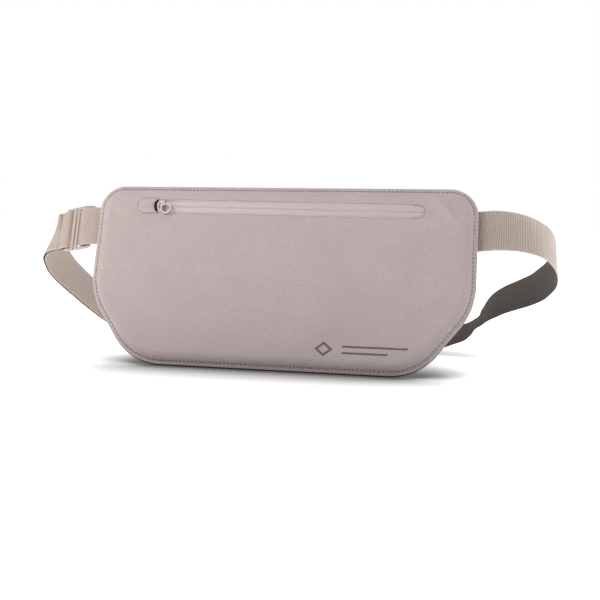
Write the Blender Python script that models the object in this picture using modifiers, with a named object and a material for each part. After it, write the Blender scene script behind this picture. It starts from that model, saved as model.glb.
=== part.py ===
"""Money belt: a flat zipped pouch on an adjustable elastic waist belt.

Metres, +Z up. X runs along the pouch and its front looks towards -Y. The origin is at the middle
of the back panel's lower seam edge. The pouch stands on that edge and leans back on the belt,
which loops round behind it and rests on the floor at one place.

The pouch, its zip and the buckle are modelled upright and then leaned back with an empty. The
belt and its length adjuster are placed in the world.
"""

import math

import bmesh
import bpy
from mathutils import Matrix, Vector

MM = 0.001
GAP = 0.3 * MM
LEAN = math.radians(18.0)

# Pouch outline: a hexagon with rounded corners, symmetric about X = 0.
POUCH_HEIGHT = 137.0 * MM
TOP_HALF = 142.0 * MM
SIDE_HALF = 142.1 * MM
SIDE_Z = 50.6 * MM
BASE_HALF = 105.7 * MM
TOP_RADIUS = 20.1 * MM
SIDE_RADIUS = 53.4 * MM
BASE_RADIUS = 45.9 * MM
CORNER_STEPS = 6

# Pouch section, front to back. The seam is the flat rim all round.
PANEL_THICKNESS = 0.8 * MM
PANEL_RIM_Y = -1.85 * MM
PANEL_FACE_Y = -6.05 * MM
PANEL_INNER_Y = PANEL_FACE_Y + PANEL_THICKNESS
PANEL_PROFILE = ((0.0, 0.0), (4.0, 0.0), (5.2, 0.18), (8.0, 0.82), (9.4, 1.0))
BACK_THICKNESS = 1.5 * MM
BACK_RIM_Y = 0.75 * MM
BACK_FACE_Y = 3.75 * MM
BACK_PROFILE = ((0.0, 0.0), (4.0, 0.0), (5.5, 0.2), (8.5, 0.85), (10.5, 1.0))
SHEET_THICKNESS = 0.3 * MM
LINER_TOP_Z = 108.0 * MM
LINER_INSET = 14.0 * MM
DIVIDER_INSET = 14.0 * MM

# Zip, level near the top edge, closed with its slider parked at the left.
ZIP_Z = 119.8 * MM
SLOT_LEFT = -98.5 * MM
SLOT_RIGHT = 105.0 * MM
SLOT_HALF_HEIGHT = 5.4 * MM
TAPE_THICKNESS = 0.5 * MM
TAPE_PARTING = 0.7 * MM
TAPE_EDGE = 6.9 * MM
TAPE_Y = PANEL_INNER_Y + GAP + TAPE_THICKNESS / 2
COIL_INNER = 0.9 * MM
COIL_OUTER = 2.1 * MM
COIL_DEPTH = 1.2 * MM
COIL_Y = TAPE_Y + TAPE_THICKNESS / 2 + GAP + COIL_DEPTH / 2
COIL_LEFT = -97.0 * MM
COIL_RIGHT = 101.0 * MM
STOP_LENGTH = 1.5 * MM
STOP_HALF_HEIGHT = 1.9 * MM
GARAGE_LEFT = -111.3 * MM
GARAGE_RIGHT = -97.3 * MM
GARAGE_HALF_HEIGHT = 6.0 * MM
GARAGE_THICKNESS = 0.8 * MM

SLIDER_X = -93.0 * MM
SLIDER_LENGTH = 6.0 * MM
SLIDER_FRONT_Y = -6.7 * MM
SLIDER_HALF_HEIGHT = 4.4 * MM
SLIDER_BACK_HALF = 3.8 * MM
SLIDER_POST = 0.8 * MM
SLIDER_BACK_THICKNESS = 0.8 * MM
PULLER_X = -94.1 * MM
PULLER_Y = -8.3 * MM
EAR_OFFSET = 1.6 * MM
EAR_THICKNESS = 0.8 * MM
EAR_HALF = 0.9 * MM
PULLER_PIN_RADIUS = 0.45 * MM
PULLER_EYE_INNER = 0.75 * MM
PULLER_EYE_OUTER = 1.35 * MM
PULLER_EYE_LENGTH = 1.8 * MM
PULLER_RING_INNER = 3.0 * MM
PULLER_RING_OUTER = 4.2 * MM
PULLER_RING_REACH = 5.8 * MM
PULLER_RING_DROP = 2.4 * MM
PULLER_NECK_END = 2.9 * MM
PULLER_THICKNESS = 1.2 * MM

# Webbing.
WEB_WIDTH = 30.0 * MM
WEB_THICKNESS = 1.2 * MM
WEB_Z = 106.0 * MM
WEB_RIGHT_Z = 108.8 * MM
WEB_BACK_Y = BACK_FACE_Y + GAP + WEB_THICKNESS / 2
WEB_SEWN_END = 116.0 * MM
OUTER_PLY = -0.9 * MM
INNER_PLY = 0.75 * MM
PLY_START_GAP = 0.9 * MM
TACK_WIDTH = 3.0 * MM
TACK_HEIGHT = 28.0 * MM
TACK_THICKNESS = 0.7 * MM
TACK_X = 122.0 * MM

# Buckle: a frame on the pouch's tab and a hook on the belt, turned back round the waist.
# Along the buckle "a" runs outwards from the pouch, and "b" is the outward side.
BUCKLE_X = -149.0 * MM
BUCKLE_Y = 5.5 * MM
BUCKLE_TURN = math.radians(151.0)
ARM_INNER = WEB_WIDTH / 2 + 0.4 * MM
ARM_OUTER = WEB_WIDTH / 2 + 2.0 * MM
ARM_HALF_DEPTH = 1.3 * MM
FRAME_ARM_START = 1.0 * MM
FRAME_ARM_END = 20.2 * MM
TAB_BAR_A = 11.0 * MM
TAB_BAR_HALF = (1.7 * MM, 1.1 * MM)
TAB_LOOP_RADIUS = 2.5 * MM
PIVOT_A = 18.6 * MM
PIVOT_RADIUS = 1.7 * MM
HOOK_INNER = 2.0 * MM
HOOK_OUTER = 3.4 * MM
HOOK_HALF_WIDTH = 12.0 * MM
CROSS_START = 21.3 * MM
CROSS_END = 24.4 * MM
HOOK_ARM_END = 32.6 * MM
BELT_BAR_A = 29.0 * MM
BELT_BAR_RADIUS = 1.5 * MM
BELT_LOOP_RADIUS = 2.4 * MM
BELT_LOOP_END = 38.0 * MM

# Length adjuster, on the straight stretch behind the pouch.
STRAIGHT_Y = 125.0 * MM
STRAIGHT_Z = 18.3 * MM
STRAIGHT_LEFT = -90.0 * MM
STRAIGHT_RIGHT = 36.0 * MM
GLIDE_X = -40.0 * MM
GLIDE_HALF_LENGTH = 10.0 * MM
GLIDE_BAR_RADIUS = 0.9 * MM
GLIDE_BAR_Y = STRAIGHT_Y - 2.4 * MM
GLIDE_LOOP_RADIUS = 1.8 * MM
GLIDE_LOOP_LENGTH = 18.0 * MM
GLIDE_RAIL_FRONT = STRAIGHT_Y - 3.4 * MM
GLIDE_RAIL_BACK = STRAIGHT_Y + 3.3 * MM
GLIDE_OUTER_BAR = 1.5 * MM
GLIDE_OUTER_BAR_X = 8.6 * MM

# The belt's middle line from the buckle round the back to the pouch's right side, in mm, with
# the lean of the webbing's top edge towards the inside of the loop, in degrees.
BELT_ROUTE = (
    (-195.9, 71.0, 86.5, 28),
    (-200.4, 80.0, 80.9, 26),
    (-201.8, 89.0, 72.4, 12),
    (-199.7, 97.0, 63.4, -7),
    (-195.2, 104.0, 55.2, -24),
    (-188.4, 110.0, 46.9, -36),
    (-179.9, 115.0, 38.2, -43),
    (-168.5, 119.4, 29.4, -42),
    (-155.0, 122.8, 22.4, -30),
    (-141.5, 124.6, 19.1, -13),
    (-127.0, 125.0, 18.3, -2),
    (-110.0, STRAIGHT_Y / MM, STRAIGHT_Z / MM, 0),
    (STRAIGHT_LEFT / MM, STRAIGHT_Y / MM, STRAIGHT_Z / MM, 0),
    (-48.0, STRAIGHT_Y / MM, STRAIGHT_Z / MM, 0),
    (-6.0, STRAIGHT_Y / MM, STRAIGHT_Z / MM, 0),
    (STRAIGHT_RIGHT / MM, STRAIGHT_Y / MM, STRAIGHT_Z / MM, 0),
    (62.0, 125.3, 16.4, -2),
    (84.0, 125.8, 14.9, -9),
    (100.0, 126.0, 14.0, -24),
    (113.5, 126.0, 14.2, -44),
    (126.0, 125.5, 15.8, -60),
    (137.0, 124.2, 18.4, -68),
    (144.0, 122.2, 23.6, -66),
    (149.6, 119.0, 31.0, -58),
    (156.8, 115.0, 39.6, -50),
    (166.4, 110.5, 46.8, -44),
    (177.2, 105.0, 52.2, -39),
    (187.8, 98.0, 57.8, -31),
    (196.2, 90.0, 65.0, -18),
    (200.8, 80.0, 73.6, -3),
    (200.8, 70.0, 82.6, 8),
    (196.8, 61.0, 90.2, 18),
    (189.2, 53.0, 96.4, 25),
    (179.2, 46.5, 100.6, 25),
    (168.0, 42.0, 102.9, 22),
    (155.0, 39.2, 103.4, 18),
)
ROUTE_STEPS = 3
EASED_STATIONS = 5


def clear_scene():
    for obj in list(bpy.data.objects):
        bpy.data.objects.remove(obj, do_unlink=True)


def make_collection(name):
    collection = bpy.data.collections.new(name)
    bpy.context.scene.collection.children.link(collection)
    return collection


def make_material(name, colour, roughness, metallic=0.0):
    material = bpy.data.materials.new(name)
    material.use_nodes = True
    shader = material.node_tree.nodes["Principled BSDF"]
    shader.inputs["Base Color"].default_value = (*colour, 1.0)
    shader.inputs["Roughness"].default_value = roughness
    shader.inputs["Metallic"].default_value = metallic
    return material


def add_object(name, mesh, material, collection):
    obj = bpy.data.objects.new(name, mesh)
    if material is not None:
        mesh.materials.append(material)
    collection.objects.link(obj)
    return obj


def mesh_from(name, bm):
    bmesh.ops.recalc_face_normals(bm, faces=bm.faces)
    mesh = bpy.data.meshes.new(name)
    bm.to_mesh(mesh)
    bm.free()
    return mesh


def box_mesh(name, low, high):
    """A box between two corners."""
    bm = bmesh.new()
    bmesh.ops.create_cube(bm, size=1.0)
    size = [h - l for l, h in zip(low, high)]
    middle = [(h + l) / 2 for l, h in zip(low, high)]
    bmesh.ops.scale(bm, vec=size, verts=bm.verts)
    bmesh.ops.translate(bm, vec=middle, verts=bm.verts)
    return mesh_from(name, bm)


def cylinder_mesh(name, radius, half_length, centre, sides=16):
    """A cylinder along Z."""
    bm = bmesh.new()
    bmesh.ops.create_cone(
        bm, cap_ends=True, segments=sides, radius1=radius, radius2=radius, depth=2 * half_length
    )
    bmesh.ops.translate(bm, vec=centre, verts=bm.verts)
    return mesh_from(name, bm)


def prism_mesh(name, points, low, high, axis):
    """A closed outline, given in the plane across the axis, filled and extruded from low to high."""
    bm = bmesh.new()
    place = {
        "Y": lambda u, v: (u, low, v),
        "Z": lambda u, v: (u, v, low),
    }[axis]
    face = bm.faces.new([bm.verts.new(place(u, v)) for u, v in points])
    moved = bmesh.ops.extrude_face_region(bm, geom=[face])
    shift = Vector((0, high - low, 0)) if axis == "Y" else Vector((0, 0, high - low))
    verts = [item for item in moved["geom"] if isinstance(item, bmesh.types.BMVert)]
    bmesh.ops.translate(bm, vec=shift, verts=verts)
    return mesh_from(name, bm)


def arc(centre, radius, start, end, steps):
    """Points on an arc between two angles in degrees."""
    points = []
    for step in range(steps + 1):
        angle = math.radians(start + (end - start) * step / steps)
        points.append((centre[0] + radius * math.cos(angle), centre[1] + radius * math.sin(angle)))
    return points


def add_bevel(obj, width, segments=2):
    bevel = obj.modifiers.new("rounded_edges", "BEVEL")
    bevel.width = width
    bevel.segments = segments
    bevel.limit_method = "ANGLE"
    bevel.angle_limit = math.radians(50)


def add_boolean(obj, other, operation):
    other.hide_render = True
    other.display_type = "WIRE"
    boolean = obj.modifiers.new(operation.lower(), "BOOLEAN")
    boolean.operation = operation
    boolean.solver = "EXACT"
    boolean.object = other


def shade_smooth(obj, angle=40):
    obj.data.shade_smooth()
    obj.data.set_sharp_from_angle(angle=math.radians(angle))


def pouch_corners():
    """The six corners anticlockwise from the top right, each with its radius."""
    return (
        (TOP_HALF, POUCH_HEIGHT, TOP_RADIUS),
        (-TOP_HALF, POUCH_HEIGHT, TOP_RADIUS),
        (-SIDE_HALF, SIDE_Z, SIDE_RADIUS),
        (-BASE_HALF, 0.0, BASE_RADIUS),
        (BASE_HALF, 0.0, BASE_RADIUS),
        (SIDE_HALF, SIDE_Z, SIDE_RADIUS),
    )


def pouch_outline(inset):
    """The rounded hexagon, as (x, z) points, moved in by a distance."""
    corners = pouch_corners()
    count = len(corners)
    points = []
    for index, (x, z, radius) in enumerate(corners):
        here = Vector((x, z))
        before = (here - Vector(corners[index - 1][:2])).normalized()
        after = (Vector(corners[(index + 1) % count][:2]) - here).normalized()
        turn = before.angle(after)
        back = radius * math.tan(turn / 2)
        first_normal = Vector((-before.y, before.x))
        centre = here - before * back + first_normal * radius
        start = math.atan2(-first_normal.y, -first_normal.x)
        for step in range(CORNER_STEPS + 1):
            angle = start + turn * step / CORNER_STEPS
            reach = radius - inset
            points.append((centre.x + reach * math.cos(angle), centre.y + reach * math.sin(angle)))
    return points


def tray_mesh(name, profile, rim_y, face_y):
    """An open shell: rings of the pouch's outline, stepping in and out from rim to flat face."""
    bm = bmesh.new()
    rings = []
    for inset, share in profile:
        y = rim_y + (face_y - rim_y) * share
        rings.append([bm.verts.new((x, y, z)) for x, z in pouch_outline(inset * MM)])
    for outer, inner in zip(rings, rings[1:]):
        for index in range(len(outer)):
            after = (index + 1) % len(outer)
            bm.faces.new((outer[index], outer[after], inner[after], inner[index]))
    bm.faces.new(rings[-1])
    mesh = mesh_from(name, bm)
    return mesh


def face_outwards(mesh, direction):
    """Turns an open shell's faces so that its flat face looks along a direction."""
    largest = max(mesh.polygons, key=lambda polygon: polygon.area)
    if largest.normal.dot(direction) < 0:
        mesh.flip_normals()


def add_solidify(obj, thickness, offset=-1.0):
    solidify = obj.modifiers.new("thickness", "SOLIDIFY")
    solidify.thickness = thickness
    solidify.offset = offset
    solidify.use_even_offset = True


def slot_outline():
    """The zip's slot: square at the garage, round at its other end."""
    half = SLOT_HALF_HEIGHT
    points = [(SLOT_LEFT, ZIP_Z - half)]
    points += arc((SLOT_RIGHT - half, ZIP_Z), half, -90, 90, 10)
    points.append((SLOT_LEFT, ZIP_Z + half))
    return points


def make_panels(parts, cutters, looks):
    front_mesh = tray_mesh("front_panel", PANEL_PROFILE, PANEL_RIM_Y, PANEL_FACE_Y)
    face_outwards(front_mesh, Vector((0, -1, 0)))
    front = add_object("front_panel", front_mesh, looks["panel_fabric"], parts)
    add_solidify(front, PANEL_THICKNESS)
    slot_mesh = prism_mesh("slot_cutter", slot_outline(), PANEL_FACE_Y - 2 * MM, PANEL_INNER_Y + MM, "Y")
    slot = add_object("slot_cutter", slot_mesh, None, cutters)
    add_boolean(front, slot, "DIFFERENCE")

    back_mesh = tray_mesh("back_panel", BACK_PROFILE, BACK_RIM_Y, BACK_FACE_Y)
    face_outwards(back_mesh, Vector((0, 1, 0)))
    back = add_object("back_panel", back_mesh, looks["spacer_mesh"], parts)
    add_solidify(back, BACK_THICKNESS)


def clip_below(points, top):
    """The part of a convex outline that is below a height."""
    kept = []
    for index, (x, z) in enumerate(points):
        next_x, next_z = points[(index + 1) % len(points)]
        if z <= top:
            kept.append((x, z))
        if (z - top) * (next_z - top) < 0:
            share = (top - z) / (next_z - z)
            kept.append((x + (next_x - x) * share, top))
    return kept


def make_linings(parts, looks):
    liner_y = PANEL_INNER_Y + GAP
    outline = clip_below(pouch_outline(LINER_INSET), LINER_TOP_Z)
    mesh = prism_mesh("front_liner", outline, liner_y, liner_y + SHEET_THICKNESS, "Y")
    add_object("front_liner", mesh, looks["liner_film"], parts)

    divider_back = BACK_FACE_Y - BACK_THICKNESS - GAP
    outline = clip_below(pouch_outline(DIVIDER_INSET), LINER_TOP_Z)
    mesh = prism_mesh("pocket_divider", outline, divider_back - SHEET_THICKNESS, divider_back, "Y")
    add_object("pocket_divider", mesh, looks["lining"], parts)


def tape_outline(side):
    """One zip tape, above (+1) or below (-1) the parting line."""
    left = SLOT_LEFT - 1.0 * MM
    right = SLOT_RIGHT + 2.0 * MM
    near = ZIP_Z + side * TAPE_PARTING
    far = ZIP_Z + side * TAPE_EDGE
    return [(left, near), (right, near), (right, far), (left, far)][::side]


def make_zip(parts, looks):
    for name, side in (("upper", 1), ("lower", -1)):
        mesh = prism_mesh(
            "zip_tape_" + name,
            tape_outline(side),
            TAPE_Y - TAPE_THICKNESS / 2,
            TAPE_Y + TAPE_THICKNESS / 2,
            "Y",
        )
        add_object("zip_tape_" + name, mesh, looks["zip_laminate"], parts)

        near, far = sorted((ZIP_Z + side * COIL_INNER, ZIP_Z + side * COIL_OUTER))
        low = (COIL_LEFT, COIL_Y - COIL_DEPTH / 2, near)
        high = (COIL_RIGHT, COIL_Y + COIL_DEPTH / 2, far)
        coil = add_object("zip_coil_" + name, box_mesh("zip_coil_" + name, low, high), looks["coil"], parts)
        add_bevel(coil, 0.35 * MM)

    for name, x in (("zip_top_stop", COIL_LEFT - GAP - STOP_LENGTH), ("zip_end_stop", COIL_RIGHT + GAP)):
        low = (x, COIL_Y - COIL_DEPTH / 2, ZIP_Z - STOP_HALF_HEIGHT)
        high = (x + STOP_LENGTH, COIL_Y + COIL_DEPTH / 2, ZIP_Z + STOP_HALF_HEIGHT)
        stop = add_object(name, box_mesh(name, low, high), looks["zip_metal"], parts)
        add_bevel(stop, 0.25 * MM)

    half = GARAGE_HALF_HEIGHT
    outline = [(GARAGE_RIGHT, ZIP_Z - half), (GARAGE_RIGHT, ZIP_Z + half)]
    outline += arc((GARAGE_LEFT + half, ZIP_Z), half, 90, 270, 12)
    garage_back = PANEL_FACE_Y - GAP
    mesh = prism_mesh("zip_garage", outline, garage_back - GARAGE_THICKNESS, garage_back, "Y")
    garage = add_object("zip_garage", mesh, looks["panel_fabric"], parts)
    add_bevel(garage, 0.3 * MM)


def slider_section():
    """The slider seen along the zip, as (y, z): front plate, post between the tapes, back plate."""
    front_back = TAPE_Y - TAPE_THICKNESS / 2 - GAP
    rear_front = COIL_Y + COIL_DEPTH / 2 + GAP
    rear_back = rear_front + SLIDER_BACK_THICKNESS
    post = SLIDER_POST / 2
    half = [
        (SLIDER_FRONT_Y, SLIDER_HALF_HEIGHT),
        (front_back, SLIDER_HALF_HEIGHT),
        (front_back, post),
        (rear_front, post),
        (rear_front, SLIDER_BACK_HALF),
        (rear_back, SLIDER_BACK_HALF),
    ]
    return half + [(y, -z) for y, z in reversed(half)]


def make_slider(parts, cutters, looks):
    bm = bmesh.new()
    start = SLIDER_X - SLIDER_LENGTH / 2
    face = bm.faces.new([bm.verts.new((start, y, ZIP_Z + z)) for y, z in slider_section()])
    moved = bmesh.ops.extrude_face_region(bm, geom=[face])
    verts = [item for item in moved["geom"] if isinstance(item, bmesh.types.BMVert)]
    bmesh.ops.translate(bm, vec=(SLIDER_LENGTH, 0, 0), verts=verts)
    slider = add_object("zip_slider", mesh_from("zip_slider", bm), looks["zip_metal"], parts)
    add_bevel(slider, 0.25 * MM, 1)

    for side in (-1, 1):
        middle = ZIP_Z + side * EAR_OFFSET
        low = (PULLER_X - EAR_HALF, PULLER_Y - EAR_HALF, middle - EAR_THICKNESS / 2)
        high = (PULLER_X + EAR_HALF, SLIDER_FRONT_Y + 0.4 * MM, middle + EAR_THICKNESS / 2)
        name = "ear_upper" if side > 0 else "ear_lower"
        add_boolean(slider, add_object(name, box_mesh(name, low, high), None, cutters), "UNION")
    pin_mesh = cylinder_mesh("puller_pin", PULLER_PIN_RADIUS, EAR_OFFSET, (PULLER_X, PULLER_Y, ZIP_Z), 12)
    add_boolean(slider, add_object("puller_pin", pin_mesh, None, cutters), "UNION")


def ring_mesh(name, inner, outer, half_length, sides, axis):
    """A flat ring about Y or a short tube about Z, round the origin."""
    bm = bmesh.new()
    loops = []
    for radius, along in ((outer, -half_length), (outer, half_length), (inner, half_length), (inner, -half_length)):
        loop = []
        for side in range(sides):
            angle = 2 * math.pi * side / sides
            u, v = radius * math.cos(angle), radius * math.sin(angle)
            loop.append(bm.verts.new((u, along, v) if axis == "Y" else (u, v, along)))
        loops.append(loop)
    for first, second in zip(loops, loops[1:] + loops[:1]):
        for side in range(sides):
            after = (side + 1) % sides
            bm.faces.new((first[side], first[after], second[after], second[side]))
    return mesh_from(name, bm)


def make_puller(parts, cutters, looks):
    """The ring puller hangs on the slider's pin, with its ring a little low. Its origin is the pin."""
    eye_mesh = ring_mesh(
        "zip_puller", PULLER_EYE_INNER, PULLER_EYE_OUTER, PULLER_EYE_LENGTH / 2, 20, "Z"
    )
    puller = add_object("zip_puller", eye_mesh, looks["zip_metal"], parts)
    flat = ring_mesh("pull_ring", PULLER_RING_INNER, PULLER_RING_OUTER, PULLER_THICKNESS / 2, 28, "Y")
    flat.transform(Matrix.Translation((PULLER_RING_REACH, 0, -PULLER_RING_DROP)))
    neck_depth = PULLER_THICKNESS / 2 - 0.1 * MM
    low = (PULLER_EYE_OUTER - 0.35 * MM, -neck_depth, -0.8 * MM)
    neck = box_mesh("pull_neck", low, (PULLER_NECK_END, neck_depth, 0.4 * MM))
    for mesh in (flat, neck):
        piece = add_object(mesh.name, mesh, None, cutters)
        piece.location = (PULLER_X, PULLER_Y, ZIP_Z)
        add_boolean(puller, piece, "UNION")
    puller.location = (PULLER_X, PULLER_Y, ZIP_Z)


def catmull_rom(points, steps):
    """A smooth curve through points (tuples of any length)."""
    smooth = []
    for index in range(len(points) - 1):
        p1, p2 = Vector(points[index]), Vector(points[index + 1])
        p0 = Vector(points[index - 1]) if index > 0 else 2 * p1 - p2
        p3 = Vector(points[index + 2]) if index + 2 < len(points) else 2 * p2 - p1
        for step in range(steps):
            t = step / steps
            value = 2 * p1 + (p2 - p0) * t + (2 * p0 - 5 * p1 + 4 * p2 - p3) * t * t
            value += (3 * p1 - p0 - 3 * p2 + p3) * t ** 3
            smooth.append(value / 2)
    smooth.append(Vector(points[-1]))
    return smooth


def ribbon_mesh(name, stations):
    """An open strip through stations of (middle, unit vector across the webbing)."""
    bm = bmesh.new()
    rows = []
    for middle, across in stations:
        half = across * (WEB_WIDTH / 2)
        rows.append((bm.verts.new(middle - half), bm.verts.new(middle + half)))
    for (low, high), (next_low, next_high) in zip(rows, rows[1:]):
        bm.faces.new((low, next_low, next_high, high))
    mesh = bpy.data.meshes.new(name)
    bm.to_mesh(mesh)
    bm.free()
    return mesh


def make_ribbon(name, stations, look, parts):
    ribbon = add_object(name, ribbon_mesh(name, stations), look, parts)
    add_solidify(ribbon, WEB_THICKNESS, 0.0)
    shade_smooth(ribbon)
    return ribbon


def upright_stations(points, z):
    """Stations of webbing that stands on edge along a path of (x, y) points."""
    return [(Vector((x, y, z)), Vector((0, 0, 1))) for x, y in points]


def buckle_point(a, b):
    """World (x, y) of a point given along and out of the buckle."""
    x = BUCKLE_X + a * math.cos(BUCKLE_TURN) - b * math.sin(BUCKLE_TURN)
    y = BUCKLE_Y + a * math.sin(BUCKLE_TURN) + b * math.cos(BUCKLE_TURN)
    return x, y


def leaned(x, y, z):
    """The world place of a point given on the upright pouch."""
    return Matrix.Rotation(-LEAN, 3, "X") @ Vector((x, y, z))


def route_point(x, y, z, lean):
    """A point given on the upright pouch, as a point of the belt's route."""
    return (*(leaned(x, y, z) / MM), lean)


def belt_route():
    """Stations of the belt's middle line, from the buckle's belt loop to the pouch's right side."""
    lean = math.degrees(LEAN)
    points = [route_point(*buckle_point(BELT_LOOP_END, 0), WEB_Z, lean)]
    points.append(route_point(*buckle_point(BELT_LOOP_END + 6 * MM, 0), WEB_Z - 0.6 * MM, lean))
    points += list(BELT_ROUTE)
    for x in (SIDE_HALF - 2 * MM, SIDE_HALF - 14 * MM, WEB_SEWN_END):
        points.append(route_point(x, WEB_BACK_Y, WEB_RIGHT_Z, lean))
    buckle_across = leaned(0, 0, 1)
    stations = []
    smooth = catmull_rom(points, ROUTE_STEPS)
    for index, value in enumerate(smooth):
        before = smooth[max(index - 1, 0)]
        after = smooth[min(index + 1, len(smooth) - 1)]
        tangent = (after - before).xyz.normalized()
        inward = tangent.cross(Vector((0, 0, 1))).normalized()
        across = Matrix.Rotation(math.radians(value.w), 3, tangent) @ inward.cross(tangent)
        across = buckle_across.lerp(across, min(1.0, index / EASED_STATIONS)).normalized()
        stations.append((value.xyz * MM, across, tangent.cross(across)))
    return stations


def ply_stations(stations, offset):
    """One ply of the doubled belt: the middle line moved along its inward normal."""
    return [(middle + inward * offset, across) for middle, across, inward in stations]


def outer_ply(stations):
    """The long ply: outside the other one behind the pouch, and flat on the back at its sewn end."""
    plies = []
    for middle, across, inward in stations:
        behind = leaned(0, 1, 0).dot(middle) - WEB_BACK_Y
        fade = min(1.0, max(0.0, behind) / (20 * MM))
        plies.append((middle + inward * OUTER_PLY * fade, across))
    return plies


def make_belt(parts, looks):
    stations = belt_route()
    clear = outer_ply(stations)
    first, across = clear[0]
    clear[0] = (first + (clear[1][0] - first).normalized() * PLY_START_GAP, across)
    make_ribbon("strap_main", clear, looks["webbing"], parts)

    end_x = GLIDE_X - GLIDE_LOOP_LENGTH - GAP
    inner = []
    for middle, across in ply_stations(stations, INNER_PLY):
        if middle.y > STRAIGHT_Y - 1.5 * MM and middle.x > end_x - 3 * MM:
            break
        inner.append((middle, across))
    first, across = inner[0]
    inner[0] = (first + (inner[1][0] - first).normalized() * PLY_START_GAP, across)
    inner.append((Vector((end_x, STRAIGHT_Y - INNER_PLY, STRAIGHT_Z)), Vector((0, 0, 1))))
    make_ribbon("strap_return", inner, looks["webbing"], parts)


def make_tab(parts, looks):
    """Webbing tab: sewn flat on the pouch's back, round the frame's bar and back on itself."""
    path = [(-WEB_SEWN_END, WEB_BACK_Y), (-SIDE_HALF + 13 * MM, WEB_BACK_Y), (-SIDE_HALF + 3 * MM, WEB_BACK_Y)]
    path += [buckle_point(-1.5 * MM, -0.2 * MM), buckle_point(4 * MM, 1.7 * MM)]
    path.append(buckle_point(8 * MM, TAB_LOOP_RADIUS))
    turn = arc((TAB_BAR_A, 0), TAB_LOOP_RADIUS, 90, -90, 8)
    path += [buckle_point(a, b) for a, b in turn]
    path += [buckle_point(8 * MM, -TAB_LOOP_RADIUS), buckle_point(4.5 * MM, -2.3 * MM)]
    smooth = [tuple(point) for point in catmull_rom(path, 2)]
    make_ribbon("tab_left", upright_stations(smooth, WEB_Z), looks["webbing"], parts)


def make_hook_loop(parts, looks):
    """The belt's end where it goes round the hook's bar."""
    straight = BELT_LOOP_END - 1.5 * MM
    path = [(BELT_LOOP_END, -OUTER_PLY), (straight, -OUTER_PLY)]
    path += [(34 * MM, 1.7 * MM), (31.5 * MM, BELT_LOOP_RADIUS)]
    path += arc((BELT_BAR_A, 0), BELT_LOOP_RADIUS, 90, 270, 8)
    path += [(31.5 * MM, -BELT_LOOP_RADIUS), (34 * MM, -1.7 * MM)]
    path += [(straight, -INNER_PLY), (BELT_LOOP_END, -INNER_PLY)]
    world = [buckle_point(a, b) for a, b in path]
    make_ribbon("strap_hook_loop", upright_stations(world, WEB_Z), looks["webbing"], parts)


def make_tacks(parts, looks):
    for name, side in (("bartack_left", -1), ("bartack_right", 1)):
        front = WEB_BACK_Y + WEB_THICKNESS / 2 + GAP
        x = side * TACK_X
        middle = WEB_Z if side < 0 else WEB_RIGHT_Z
        low = (x - TACK_WIDTH / 2, front, middle - TACK_HEIGHT / 2)
        high = (x + TACK_WIDTH / 2, front + TACK_THICKNESS, middle + TACK_HEIGHT / 2)
        tack = add_object(name, box_mesh(name, low, high), looks["thread"], parts)
        add_bevel(tack, 0.25 * MM)


def place_on_buckle(objects, origin_a):
    """Puts pieces modelled round a point of the buckle's line at that point, turned with it."""
    x, y = buckle_point(origin_a, 0)
    for obj in objects:
        obj.location = (x, y, WEB_Z)
        obj.rotation_euler = (0, 0, BUCKLE_TURN)


def make_arm(name, start, end, side, look, collection):
    inner, outer = sorted((side * ARM_INNER, side * ARM_OUTER))
    low = (start, -ARM_HALF_DEPTH, inner)
    high = (end, ARM_HALF_DEPTH, outer)
    arm = add_object(name, box_mesh(name, low, high), look, collection)
    add_bevel(arm, 0.5 * MM)
    return arm


def make_frame(parts, cutters, looks):
    """The pouch's half of the buckle: two arms, a flat bar for the tab and a round bar."""
    frame = make_arm("buckle_frame", FRAME_ARM_START, FRAME_ARM_END, 1, looks["buckle"], parts)
    pieces = [make_arm("frame_arm", FRAME_ARM_START, FRAME_ARM_END, -1, None, cutters)]
    reach = ARM_INNER + 0.6 * MM
    half_a, half_b = TAB_BAR_HALF
    low = (TAB_BAR_A - half_a, -half_b, -reach)
    high = (TAB_BAR_A + half_a, half_b, reach)
    tab_bar = add_object("tab_bar", box_mesh("tab_bar", low, high), None, cutters)
    add_bevel(tab_bar, 0.6 * MM)
    pieces.append(tab_bar)
    pivot = cylinder_mesh("pivot_bar", PIVOT_RADIUS * 0.98, reach, (PIVOT_A, 0, 0), 20)
    pieces.append(add_object("pivot_bar", pivot, None, cutters))
    for piece in pieces:
        add_boolean(frame, piece, "UNION")
    place_on_buckle([frame] + pieces, 0.0)


def make_hook(parts, cutters, looks):
    """The belt's half of the buckle: its origin is on the axis of the frame's round bar."""
    shift = PIVOT_A
    start, end = CROSS_START - shift, HOOK_ARM_END - shift
    hook = make_arm("buckle_hook", start, end, 1, looks["buckle"], parts)
    pieces = [make_arm("hook_arm", start, end, -1, None, cutters)]
    low = (start, -ARM_HALF_DEPTH, -ARM_INNER - 0.6 * MM)
    high = (CROSS_END - shift, ARM_HALF_DEPTH, ARM_INNER + 0.6 * MM)
    cross = add_object("cross_bar", box_mesh("cross_bar", low, high), None, cutters)
    add_bevel(cross, 0.5 * MM)
    pieces.append(cross)
    outline = arc((0, 0), HOOK_OUTER, 165, 352, 16)
    outline += arc((0, 0), HOOK_INNER, 352, 165, 16)
    j_mesh = prism_mesh("hook_curl", outline, -HOOK_HALF_WIDTH, HOOK_HALF_WIDTH, "Z")
    pieces.append(add_object("hook_curl", j_mesh, None, cutters))
    bar = cylinder_mesh(
        "belt_bar", BELT_BAR_RADIUS, ARM_INNER + 0.6 * MM, (BELT_BAR_A - shift, 0, 0), 20
    )
    pieces.append(add_object("belt_bar", bar, None, cutters))
    for piece in pieces:
        add_boolean(hook, piece, "UNION")
    place_on_buckle([hook] + pieces, PIVOT_A)


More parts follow.
